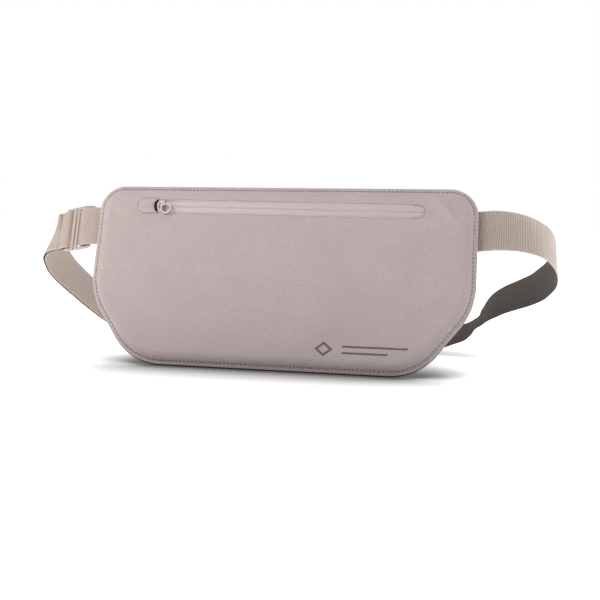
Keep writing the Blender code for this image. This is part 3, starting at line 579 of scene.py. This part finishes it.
def panel_points(spacing, slot):
    """Points in rings inside the seam, then a grid, clear of the slot."""
    sets = [pouch_outline(inset, step) for inset, step in SEAM_RINGS]
    outline = pouch_outline(0.0, 1.5)
    sets.append(hex_grid(outline, spacing, SEAM_RINGS[-1][0] + spacing * 0.7))
    inside = np.vstack(sets)
    if slot:
        inside = inside[slot_gap(inside[:, 0], inside[:, 1]) > 2.3]
        inside = np.vstack([inside, *[slot_ring(grow) for grow in (0.35, 0.9, 1.6)]])
    return inside


OUTLINE = pouch_outline(0.0, 1.5)
CREASES = (
    # x and z of both ends, height, width
    (92.0, 53.0, 138.0, 65.0, 1.25, 4.0),
    (70.0, 42.0, 112.0, 49.0, 0.35, 6.0),
    (107.0, 135.0, 131.0, 111.0, 1.30, 3.4),
    (-128.0, 60.0, -84.0, 52.0, 0.30, 6.0),
    (-70.0, 27.0, 52.0, 23.0, 0.30, 5.0),
    (-40.0, 84.0, 34.0, 90.0, 0.25, 9.0),
)


def crease(x, z, line):
    x0, z0, x1, z1, height, width = line
    way = np.array((x1 - x0, z1 - z0))
    share = np.clip(((x - x0) * way[0] + (z - z0) * way[1]) / (way @ way), 0.0, 1.0)
    off = np.hypot(x - x0 - share * way[0], z - z0 - share * way[1])
    return height * np.exp(-((off / width) ** 2)) * np.sin(np.pi * np.clip(share, 0.03, 0.97))


def pucker(depth, round_it, side):
    """The seam's stitches pull the cloth in, and it stands a little proud between them."""
    near = np.exp(-(((depth - STITCH_INSET) / 0.95) ** 2))
    pull = 0.36 + 0.24 * np.cos(2 * np.pi * round_it / STITCH_PITCH)
    curl = 0.45 * np.clip(1.0 - depth / 0.6, 0.0, 1.0) ** 2
    return side * (near * pull + curl)


def front_surface(x, z, depth, round_it):
    """The y and z of the front panel's face."""
    rise = np.sin(np.clip((depth - 1.2) / 8.5, 0.0, 1.0) * np.pi / 2)
    calm = rise * smooth(slot_gap(x, z) / 9.0)
    y = FRONT_RIM + (FRONT_FACE - FRONT_RIM) * rise
    y = y - 0.9 * smooth((depth - 16.0) / 45.0)
    y = y - calm * (0.42 * ripple(x, z, 0.021, 3.7) + 0.2 * ripple(x, z * 1.6, 0.055, 8.1))
    y = y - rise * 0.10 * ripple(x * 0.6, z, 0.17, 5.5)
    for line in CREASES:
        y = y - calm * crease(x, z, line)
    return y + pucker(depth, round_it, 1.0), z


def back_surface(x, z, depth, round_it):
    """The y and z of the padded back's face, which hangs a little lower than the front."""
    rise = np.sin(np.clip((depth - 1.4) / 11.5, 0.0, 1.0) * np.pi / 2)
    y = BACK_RIM + (BACK_FACE - BACK_RIM) * rise
    y = y + 1.3 * smooth((depth - 30.0) / 36.0)
    y = y + rise * smooth((depth - 26.0) / 20.0) * 0.35 * ripple(x, z, 0.03, 1.3)
    return y + pucker(depth, round_it, -1.0), z - BACK_DROP * (1.0 - smooth(z / 70.0))


def on_surface(surface, flat):
    """Upright places on one of the pouch's faces, with their depth inside the seam."""
    depth, round_it = depth_in(flat, OUTLINE)
    y, z = surface(flat[:, 0], flat[:, 1], depth, round_it)
    return np.column_stack([flat[:, 0], y, z]), depth


def facing(points, faces, direction):
    """The faces, turned where needed so that they look along a direction."""
    a, b, c = (points[faces[:, i]] for i in range(3))
    if (np.cross(b - a, c - a).sum(axis=0) * direction).sum() < 0:
        return faces[:, ::-1]
    return faces


# -------------------- the pouch


def shell(name, surface, spacing, look, thickness, side, slot=False):
    boundary = pouch_outline(0.0, 1.0)
    flat, faces = fill(boundary, panel_points(spacing, slot), slot_ring(0.0) if slot else None)
    points, depth = on_surface(surface, flat)
    faces = facing(points, faces, (0, side, 0))
    cloth = np.column_stack([flat, depth])
    obj = add_piece(name, lean(points), faces, look, cloth, closed=False)
    thicken(obj, thickness)
    return obj


def topstitch(name, surface, side):
    """The seam's stitches on one face: short threads whose ends dive into the cloth."""
    line = pouch_outline(0.0, 0.5)
    steps = np.linalg.norm(np.roll(line, -1, axis=0) - line, axis=1)
    along = np.concatenate([[0.0], np.cumsum(steps)])
    looped = np.vstack([line, line[:1]])
    count = round(along[-1] / STITCH_PITCH)
    paths = []
    for index in range(count):
        places = (index + np.linspace(*STITCH_SHOWN, len(STITCH_ARCH))) * along[-1] / count
        on_edge = np.column_stack([np.interp(places, along, looped[:, k]) for k in (0, 1)])
        ahead = np.column_stack([np.interp(places + 0.5, along, looped[:, k]) for k in (0, 1)])
        way = unit(ahead - on_edge)
        flat = on_edge + np.column_stack([-way[:, 1], way[:, 0]]) * STITCH_INSET
        points, _ = on_surface(surface, flat)
        points[:, 1] += side * np.array(STITCH_ARCH)
        paths.append(lean(points))
    return tubes(name, paths, STITCH_RADIUS, 6, "thread")


def tubes(name, paths, radius, sides, look, closed=False):
    """Round threads or cords along paths, as one piece."""
    points, faces, cloth = [], [], []
    angles = 2 * np.pi * np.arange(sides) / sides
    for path in paths:
        path = np.asarray(path, float)
        if closed:
            way = unit(np.roll(path, -1, axis=0) - np.roll(path, 1, axis=0))
        else:
            way = unit(np.gradient(path, axis=0))
        side = np.cross(way[0], (0.0, 0.6, 0.8))
        if np.linalg.norm(side) < 0.1:
            side = np.cross(way[0], (1.0, 0.0, 0.0))
        start = len(points) * sides
        along = np.concatenate([[0.0], np.cumsum(np.linalg.norm(np.diff(path, axis=0), axis=1))])
        for place, tangent, distance in zip(path, way, along):
            side = unit(side - tangent * (side @ tangent))
            up = np.cross(tangent, side)
            ring = place + radius * (np.cos(angles)[:, None] * side + np.sin(angles)[:, None] * up)
            points.append(ring)
            cloth.append(np.column_stack([np.full(sides, distance), angles * radius, 0 * angles]))
        faces += ring_faces(len(path), sides, start, closed)
    return add_piece(name, np.vstack(points), faces, look, np.vstack(cloth))


def dome(name, outline, levels, look):
    """A small raised patch: rings of (share of the outline, y) drawn in to its middle."""
    middle = outline.mean(axis=0)
    points = np.vstack([at_depth(middle + (outline - middle) * share, y) for share, y in levels])
    faces = ring_faces(len(levels), len(outline))
    cloth = np.column_stack([points[:, 0], points[:, 2], np.full(len(points), 9.0)])
    return add_piece(name, lean(points), faces, look, cloth)


def make_pouch():
    front = shell("front_shell", front_surface, 2.2, "fabric", 0.8, -1, slot=True)
    back = shell("back_shell", back_surface, 3.4, "mesh", 1.5, 1)
    front_seam = topstitch("front_topstitch", front_surface, -1.0)
    back_seam = topstitch("back_topstitch", back_surface, 1.0)
    for obj in (front, back, front_seam, back_seam):
        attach(obj, "pouch")
    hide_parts("front_panel")
    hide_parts("back_panel")


def make_linings():
    """Two sheets inside: the film behind the front and the divider in front of the back."""
    outline = pouch_outline(14.0, 3.0)
    outline = outline[outline[:, 1] <= 108.0]
    for name, node, look, y, swell in (
        ("lining_film", "front_liner", "film", -4.8, 0.5),
        ("lining_divider", "pocket_divider", "lining", 1.8, -0.5),
    ):
        boundary = resample(outline, 3.0, closed=True)
        inside = hex_grid(boundary, 5.0, 2.0)
        flat, faces = fill(boundary, inside)
        depth = depth_in(flat, boundary)[0]
        wave = smooth(depth / 12.0) * (0.5 + 0.5 * ripple(flat[:, 0], flat[:, 1], 0.04, y))
        points = at_depth(flat, y + swell * wave)
        faces = facing(points, faces, (0, -1, 0))
        obj = add_piece(name, lean(points), faces, look, np.column_stack([flat, depth]), closed=False)
        thicken(obj, 0.3)
        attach(obj, "pouch")
        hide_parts(node)


def make_lips():
    """Two laminated lips that meet along a wavy line, with their coils behind."""
    x = np.linspace(LIP_LEFT, LIP_RIGHT, 340)
    meet = 0.42 * ripple(x, 0 * x, 0.075, 2.2) + 0.16 * ripple(x, 0 * x, 0.27, 6.1)
    rolled = 1.0 - smooth((x - LIP_ROLL_END) / 4.0)
    for side, word in ((1, "upper"), (-1, "lower")):
        crumple = 0.11 * ripple(x, 0 * x, 0.16, 4.0 + side)
        rows = []
        for v, y, roll in LIP_SECTION:
            share = 1.0 - smooth((v - 0.2) / 4.0)
            y = y - roll * rolled + crumple * (1.1 - share) * (v < 4.4)
            rows.append(np.column_stack([x, y, ZIP_Z + side * v + meet * share]))
        points = np.vstack(rows)
        faces = facing(points, np.array(grid_faces(len(LIP_SECTION), len(x))), (0, -1, 0))
        across = np.repeat([side * v for v, _, _ in LIP_SECTION], len(x))
        cloth = np.column_stack([np.tile(x, len(LIP_SECTION)), across, np.full(len(points), 5.0)])
        lip = add_piece("zip_lip_" + word, lean(points), faces, "laminate", cloth, closed=False)
        thicken(lip, 0.45)
        turns = np.linspace(0.0, COIL_TURNS, COIL_TURNS * 8 + 1)
        angle = 2 * np.pi * turns
        y = COIL_Y + COIL_RADIUS * np.sin(angle)
        z = ZIP_Z + side * (COIL_OFF_MIDDLE + COIL_RADIUS * np.cos(angle))
        coil = lean(np.column_stack([COIL_START + turns * COIL_PITCH, y, z]))
        coil = tubes("zip_spiral_" + word, [coil], 0.17, 5, "nylon")
        for obj, node, slot in ((lip, "zip_tape_", "zip_laminate"), (coil, "zip_coil_", "coil")):
            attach(obj, "pouch")
            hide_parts(node + word)


def darken_stops():
    """The zip's two stops keep the frame's own shape. They are coloured near black as painted shade, for
    the dark gap beside the garage.
    """
    for node in ("zip_top_stop", "zip_end_stop"):
        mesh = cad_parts[node].data
        mesh.materials.clear()
        mesh.materials.append(LOOKS["stop"])


def slot_end(grow, y, start):
    """The slot's edge round its right end, from an x onwards."""
    rim = slot_ring(grow, 0.6, closed=False)
    return lean(at_depth(rim[rim[:, 0] > start], y))


def make_slot_edge():
    """The cut edge round the slot's right end and the laminate rolled up inside it."""
    rim = tubes("slot_edge", [slot_end(-0.08, -5.98, 97.0)], 0.15, 6, "piping")
    roll = tubes("slot_roll", [slot_end(-0.5, -5.62, 95.0)], 0.36, 8, "laminate")
    for obj, slot in ((rim, "thread"), (roll, "zip_laminate")):
        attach(obj, "pouch")


def make_garage():
    """The hood that the slider parks against, hollow on its right, with a cord round it."""
    around = arc((GARAGE_LEFT + GARAGE_HALF, ZIP_Z), GARAGE_HALF, 90, 270, 26)
    mouth = arc((GARAGE_RIGHT + MOUTH_SHIFT, ZIP_Z), MOUTH_RADIUS, 245, 115, 20)
    outline = resample(np.vstack([around, mouth]), 0.7, closed=True)
    hood = dome("garage_hood", outline, GARAGE_LEVELS, "fabric")
    line = at_depth(np.vstack([mouth[-1:], around, mouth[:1]]), -6.28)
    cord = tubes("garage_cord", [lean(resample(line, 0.6))], 0.24, 6, "piping")
    for obj, slot in ((hood, "panel_fabric"), (cord, "thread")):
        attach(obj, "pouch")
    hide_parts("zip_garage")


def moulded(name, node, body, look, voxel, passes, slot, warp):
    """A casting or moulding with softened edges, made from the CAD solid's own shape."""
    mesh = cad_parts[node].data.copy()
    bm = bmesh.new()
    bm.from_mesh(mesh)
    bmesh.ops.remove_doubles(bm, verts=bm.verts, dist=1e-6)
    bm.to_mesh(mesh)
    bm.free()
    draft = bpy.data.objects.new(name + "_draft", mesh)
    bpy.context.scene.collection.objects.link(draft)
    remesh = draft.modifiers.new("skin", "REMESH")
    remesh.mode = "VOXEL"
    remesh.voxel_size = voxel * MM
    soften = draft.modifiers.new("soften", "SMOOTH")
    soften.factor = 0.5
    soften.iterations = passes
    bpy.context.view_layer.update()
    graph = bpy.context.evaluated_depsgraph_get()
    skin = bpy.data.meshes.new_from_object(draft.evaluated_get(graph))
    bpy.data.objects.remove(draft)
    if warp is not None:
        places = np.array([v.co for v in skin.vertices], float) / MM
        skin.vertices.foreach_set("co", (warp(places) * MM).astype(np.float32).ravel())
    skin.name = name
    skin.materials.clear()
    skin.materials.append(LOOKS[look])
    skin.shade_smooth()
    obj = bpy.data.objects.new(name, skin)
    bpy.context.scene.collection.objects.link(obj)
    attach(obj, body)
    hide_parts(node)
    return obj


def upright(points):
    """The reverse of lean()."""
    x, y, z = points.T
    c, s = math.cos(LEAN), math.sin(LEAN)
    return np.column_stack([x, c * y - s * z, c * z + s * y])


def round_slider(points):
    """Draws the slider's plates in towards their left end."""
    flat = upright(points)
    share = np.clip((TAPER_X - flat[:, 0]) / TAPER_LENGTH, 0.0, 1.0)
    share = share * smooth((flat[:, 1] - PLATES_FRONT_Y) / 0.5)
    flat[:, 2] = ZIP_Z + (flat[:, 2] - ZIP_Z) * np.sqrt(1.0 - 0.96 * share**2)
    return lean(flat)


def bow_arms(points):
    """Bows the buckle's arms outwards a little at their middle and thins them at the pouch."""
    flat = upright(points)
    a = (flat[:, 0] - BUCKLE_X) * math.cos(BUCKLE_TURN) + (flat[:, 1] - BUCKLE_Y) * math.sin(BUCKLE_TURN)
    off = flat[:, 2] - WEB_Z
    reach = np.abs(off) - ARM_OFF
    on_arm = smooth(reach / 0.3)
    thin = 1.0 - ARM_THINNED * (1.0 - smooth((a - 1.0) / 7.0))
    bow = ARM_BOW * np.sin(np.pi * np.clip(a / ARM_LENGTH, 0.0, 1.0))
    moved = np.sign(off) * (ARM_OFF + reach * thin + bow)
    flat[:, 2] = WEB_Z + np.where(reach > 0, off + (moved - off) * on_arm, off)
    return lean(flat)


# Name, node, body, look, voxel size, smoothing passes, slot and what reshapes it.
MOULDINGS = (
    ("slider_casting", "zip_slider", "slider", "alloy", 0.16, 3, "zip_metal", round_slider),
    ("pull_ring", "zip_puller", "puller", "alloy", 0.13, 3, "zip_metal", None),
    ("buckle_frame_moulding", "buckle_frame", "pouch", "plastic", 0.3, 4, "buckle", bow_arms),
    ("buckle_hook_moulding", "buckle_hook", "hook", "plastic", 0.3, 4, "buckle", bow_arms),
    ("adjuster_moulding", "tri_glide", "adjuster", "plastic", 0.3, 3, "buckle", None),
)


# -------------------- the webbing


def buckle_point(a, b):
    """(x, y) on the upright pouch of a point given along and out of the buckle."""
    x = BUCKLE_X + a * math.cos(BUCKLE_TURN) - b * math.sin(BUCKLE_TURN)
    y = BUCKLE_Y + a * math.sin(BUCKLE_TURN) + b * math.cos(BUCKLE_TURN)
    return x, y


def belt_path():
    """The belt's middle line with the vectors across it and in towards the waist."""
    tilt = math.degrees(LEAN)
    start = [(*lean((*buckle_point(a, 0.0), WEB_Z - drop)), tilt) for a, drop in ((38.0, 0.0), (44.0, 0.6))]
    end = [(*lean((x, WEB_BACK_Y, WEB_RIGHT_Z)), tilt) for x in (140.1, 128.1, WEB_SEWN_END)]
    line = catmull_rom([*start, *BELT_ROUTE, *end], FINE)
    middle = line[:, :3]
    tangent = unit(np.gradient(middle, axis=0))
    inward = unit(np.cross(tangent, (0.0, 0.0, 1.0)))
    stand = np.cross(inward, tangent)
    angle = np.radians(line[:, 3])[:, None]
    across = stand * np.cos(angle) + np.cross(tangent, stand) * np.sin(angle)
    eased = np.clip(np.arange(len(line)) / EASED, 0.0, 1.0)[:, None]
    across = unit(lean((0.0, 0.0, 1.0)) * (1 - eased) + across * eased)
    return middle, across, np.cross(tangent, across)


def lengths_of(line):
    return np.concatenate([[0.0], np.cumsum(np.linalg.norm(np.diff(line, axis=0), axis=1))])


WEB_SECTION = (
    # across, half thickness, share of the ribs
    (-15.0, 0.0, 0.0), (-14.7, 0.36, 0.2), (-13.9, 0.52, 0.6),
    (-7.0, 0.54, 1.0), (0.0, 0.54, 1.0), (7.0, 0.54, 1.0),
    (13.9, 0.52, 0.6), (14.7, 0.36, 0.2), (15.0, 0.0, 0.0),
)


def webbing(name, middle, across, begin, end, back=1.0, ribs=0.15):
    """A length of ribbed webbing between two places along a path. Its back is the darker face, partly
    through painted shade.
    """
    along = lengths_of(middle)
    places = np.linspace(begin, end, max(8, round((end - begin) / RIB_PITCH * 4)) + 1)
    line = np.column_stack([np.interp(places, along, column) for column in middle.T])
    turn = np.column_stack([np.interp(places, along, column) for column in across.T])
    tangent = unit(np.gradient(line, axis=0))
    inward = unit(np.cross(tangent, turn))
    turn = np.cross(inward, tangent)
    rib = ribs * np.cos(2 * np.pi * places / RIB_PITCH)[:, None]
    wander = 0.12 * ripple(places, 0 * places, 0.09, 1.0 + back)[:, None]
    columns, cloth = [], []
    loop = [(*item, -1.0) for item in WEB_SECTION] + [(*item, 1.0) for item in WEB_SECTION[-2:0:-1]]
    for v, half, share, side in loop:
        out = side * (half + (half > 0) * (0.04 + rib * share / 2))
        columns.append(line + turn * (v + math.copysign(1.0, v) * wander * (abs(v) > 14)) + inward * out)
        face = 0.5 if half == 0 else 0.5 + side * back / 2
        cloth.append(np.column_stack([places, np.full(len(places), v), np.full(len(places), face)]))
    points = np.stack(columns, axis=1).reshape(-1, 3)
    cloth = np.stack(cloth, axis=1).reshape(-1, 3)
    obj = add_piece(name, points, ring_faces(len(places), len(loop)), "webbing", cloth)
    return obj


def place_where(middle, x):
    """How far along the belt it first gets to an x behind the pouch."""
    behind = (middle[:, 1] > 110.0) & (middle[:, 0] > x)
    return lengths_of(middle)[int(np.argmax(behind))]


def make_belt():
    middle, across, inward = belt_path()
    behind = middle @ lean((0.0, 1.0, 0.0)) - WEB_BACK_Y
    outer = middle + inward * OUTER_PLY * np.clip(behind / 20.0, 0.0, 1.0)[:, None]
    inner = middle + inward * INNER_PLY

    split = place_where(outer, BELT_SPLIT_X)
    total = lengths_of(outer)[-1]
    left = webbing("belt_left", outer, across, BELT_START, split)
    rest = webbing("belt_back", outer, across, split, total)
    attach(rest, "pouch")
    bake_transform(left)
    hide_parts("strap_main")
    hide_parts("strap_main")

    split = place_where(inner, BELT_SPLIT_X)
    end = place_where(inner, GLIDE_X - 18.2)
    near = webbing("return_left", inner, across, BELT_START, split, back=-1.0)
    far = webbing("return_glide", inner, across, split, end, back=-1.0)
    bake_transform(near)
    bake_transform(far)
    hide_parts("strap_return")
    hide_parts("strap_return")


def upright_web(name, path, z, leaned, body, back, ribs=0.15):
    """Webbing that stands on edge along a path of (x, y) points."""
    flat = catmull_rom(path, 8)
    middle = np.column_stack([flat, np.full(len(flat), z)])
    across = np.tile((0.0, 0.0, 1.0), (len(flat), 1))
    if leaned:
        middle, across = lean(middle), lean(across)
    total = lengths_of(middle)[-1]
    obj = webbing(name, middle, across, 0.0, total, back, ribs)
    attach(obj, body)
    return obj


def make_short_webs():
    """The pouch's tab and the belt's turns round the hook's bar and the adjuster's bar."""
    path = [(-WEB_SEWN_END, WEB_BACK_Y), (-129.8, WEB_BACK_Y), (-139.8, WEB_BACK_Y)]
    path += [buckle_point(-1.5, -0.2), buckle_point(4.0, 1.7), buckle_point(8.0, 2.5)]
    path += [buckle_point(a, b) for a, b in arc((11.0, 0.0), 2.5, 90, -90, 8)]
    path += [buckle_point(8.0, -2.5), buckle_point(4.5, -2.3)]
    tab = upright_web("tab_webbing", path, WEB_Z, True, "pouch", 1.0)
    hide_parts("tab_left")

    path = [(38.0, -OUTER_PLY), (36.5, -OUTER_PLY), (34.0, 1.7), (31.5, 2.4)]
    path += list(map(tuple, arc((29.0, 0.0), 2.4, 90, 270, 8)))
    path += [(31.5, -2.4), (34.0, -1.7), (36.5, -INNER_PLY), (38.0, -INNER_PLY)]
    path = [buckle_point(a, b) for a, b in path]
    turn = upright_web("hook_webbing", path, WEB_Z, True, "hook", -1.0, 0.08)
    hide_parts("strap_hook_loop")

    back_y = STRAIGHT_Y - INNER_PLY
    path = [(GLIDE_X - 18.0, back_y), (GLIDE_X - 8.0, back_y), (GLIDE_X - 3.0, back_y + 0.02)]
    path += list(map(tuple, arc((GLIDE_X, GLIDE_BAR_Y), 1.8, 90, -90, 8)))
    path += [(GLIDE_X - 5.0, GLIDE_BAR_Y - 1.8), (GLIDE_X - 14.0, back_y - 1.6)]
    turn = upright_web("glide_webbing", path, STRAIGHT_Z, False, "adjuster", -1.0)
    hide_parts("glide_loop")


def make_tacks():
    """Bartacks: two close zigzags over the webbing's sewn ends."""
    steps = np.arange(TACK_STEPS + 1.0)
    for word, side, web_z in (("left", -1, WEB_Z), ("right", 1, WEB_RIGHT_Z)):
        paths = []
        for shift in (0.0, 0.5):
            z = web_z - TACK_REACH + (steps + shift) * TACK_RISE
            x = side * TACK_X + TACK_HALF * (1 - 2 * (steps % 2))
            y = TACK_Y + shift * 0.5 + 0.0 * steps
            paths.append(lean(resample(np.column_stack([x, y, z]), 0.7)))
        tack = tubes("tack_thread_" + word, paths, 0.24, 6, "tack")
        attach(tack, "pouch")
        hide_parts("bartack_" + word)


def make_mark():
    """A plain printed mark, low on the right: a lozenge and two bars."""
    outlines = []
    for x0, x1, z in MARK_BARS:
        low, high = z - BAR_HALF, z + BAR_HALF
        outlines.append(((x0, low), (x1, low), (x1 + BAR_SLANT, high), (x0 + BAR_SLANT, high)))
    x, z = LOZENGE
    outer, inner = LOZENGE_REACH, LOZENGE_REACH - LOZENGE_STROKE
    for turn in range(4):
        a, b = math.radians(90 * turn), math.radians(90 * turn + 90)
        ring = []
        for angle, reach in ((a, outer), (b, outer), (b, inner), (a, inner)):
            ring.append((x + LOZENGE_WIDEN * reach * math.cos(angle), z + reach * math.sin(angle)))
        outlines.append(tuple(ring))
    points, faces, cloth = [], [], []
    for corners in outlines:
        p0, p1, p2, p3 = (np.array(c) for c in corners)
        start = sum(len(p) for p in points)
        rows = []
        for across in np.linspace(0.0, 1.0, MARK_ROWS):
            low, high = p0 + (p3 - p0) * across, p1 + (p2 - p1) * across
            rows.append(low + (high - low) * np.linspace(0.0, 1.0, MARK_COLUMNS)[:, None])
        flat = np.vstack(rows)
        places, depth = on_surface(front_surface, flat)
        places[:, 1] -= 0.10
        points.append(places)
        cloth.append(np.column_stack([flat, depth]))
        faces += grid_faces(MARK_ROWS, MARK_COLUMNS, start)
    points = np.vstack(points)
    faces = facing(points, np.array(faces), (0, -1, 0))
    obj = add_piece("printed_mark", lean(points), faces, "ink", np.vstack(cloth), closed=False)
    thicken(obj, 0.08)
    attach(obj, "pouch")


# -------------------- the studio


def make_floor():
    low = min(CAD_BOX[0][2], 0.0) - 0.0003
    size = 5.0
    corners = [(-size, -size), (size, -size), (size, size), (-size, size)]
    mesh = bpy.data.meshes.new("floor")
    mesh.from_pydata([(x, y, low) for x, y in corners], [], [(0, 1, 2, 3)])
    mesh.materials.append(pale_floor())
    floor = bpy.data.objects.new("floor", mesh)
    bpy.context.scene.collection.objects.link(floor)


def make_light(name, place, target, size, power, colour=(1.0, 1.0, 1.0)):
    light = bpy.data.lights.new(name, "AREA")
    light.shape = "RECTANGLE"
    light.size, light.size_y = size
    light.energy = power
    light.color = colour
    obj = bpy.data.objects.new(name, light)
    way = Vector(target) - Vector(place)
    obj.matrix_world = Matrix.Translation(place) @ way.to_track_quat("-Z", "Y").to_matrix().to_4x4()
    bpy.context.scene.collection.objects.link(obj)


def make_world():
    """White to the camera, and a softer white as a light."""
    world = bpy.data.worlds.new("studio")
    world.use_nodes = True
    tree = world.node_tree
    background = tree.nodes["Background"]
    background.inputs["Color"].default_value = (1.0, 1.0, 1.0, 1.0)
    seen = shader_node(tree, "LightPath")
    strength = shader_node(tree, "MapRange", To_Min=0.32, To_Max=1.0)
    tree.links.new(seen.outputs["Is Camera Ray"], strength.inputs["Value"])
    tree.links.new(strength.outputs[0], background.inputs["Strength"])
    bpy.context.scene.world = world


def make_studio():
    make_floor()
    make_world()
    make_light("key", (-0.55, -0.50, 0.62), (0.0, 0.0, 0.07), (0.8, 0.7), 7.8, (1.0, 0.99, 0.98))
    make_light("top", (0.1, 0.25, 1.5), (0.0, 0.05, 0.0), (1.2, 1.0), 9.0)
    make_light("rim", (0.80, 0.45, 0.35), (0.19, 0.08, 0.08), (0.5, 0.5), 9.5)
    bpy.context.scene.view_settings.view_transform = "Standard"


def make_camera():
    azimuth, elevation, distance = math.radians(10.22), math.radians(4.42), 0.6803
    target = Vector((0.0, 0.0, 0.068))
    flat = math.cos(elevation)
    way = Vector((-math.sin(azimuth) * flat, math.cos(azimuth) * flat, -math.sin(elevation)))
    camera = bpy.data.objects.new("camera", bpy.data.cameras.new("camera"))
    turned = way.to_track_quat("-Z", "Y").to_matrix().to_4x4() @ Matrix.Rotation(math.radians(1.23), 4, "Z")
    camera.matrix_world = Matrix.Translation(target - way * distance) @ turned
    camera.data.sensor_width = 36.0
    camera.data.lens = 57.3
    camera.data.shift_x, camera.data.shift_y = 0.0451, -0.0400
    camera.data.clip_start = 0.01
    bpy.context.scene.collection.objects.link(camera)
    bpy.context.scene.camera = camera


def main():
    make_camera()
    make_pouch()
    make_linings()
    make_lips()
    darken_stops()
    make_slot_edge()
    make_garage()
    for moulding in MOULDINGS:
        moulded(*moulding)
    make_short_webs()
    make_belt()
    make_tacks()
    make_mark()
    make_studio()


main()
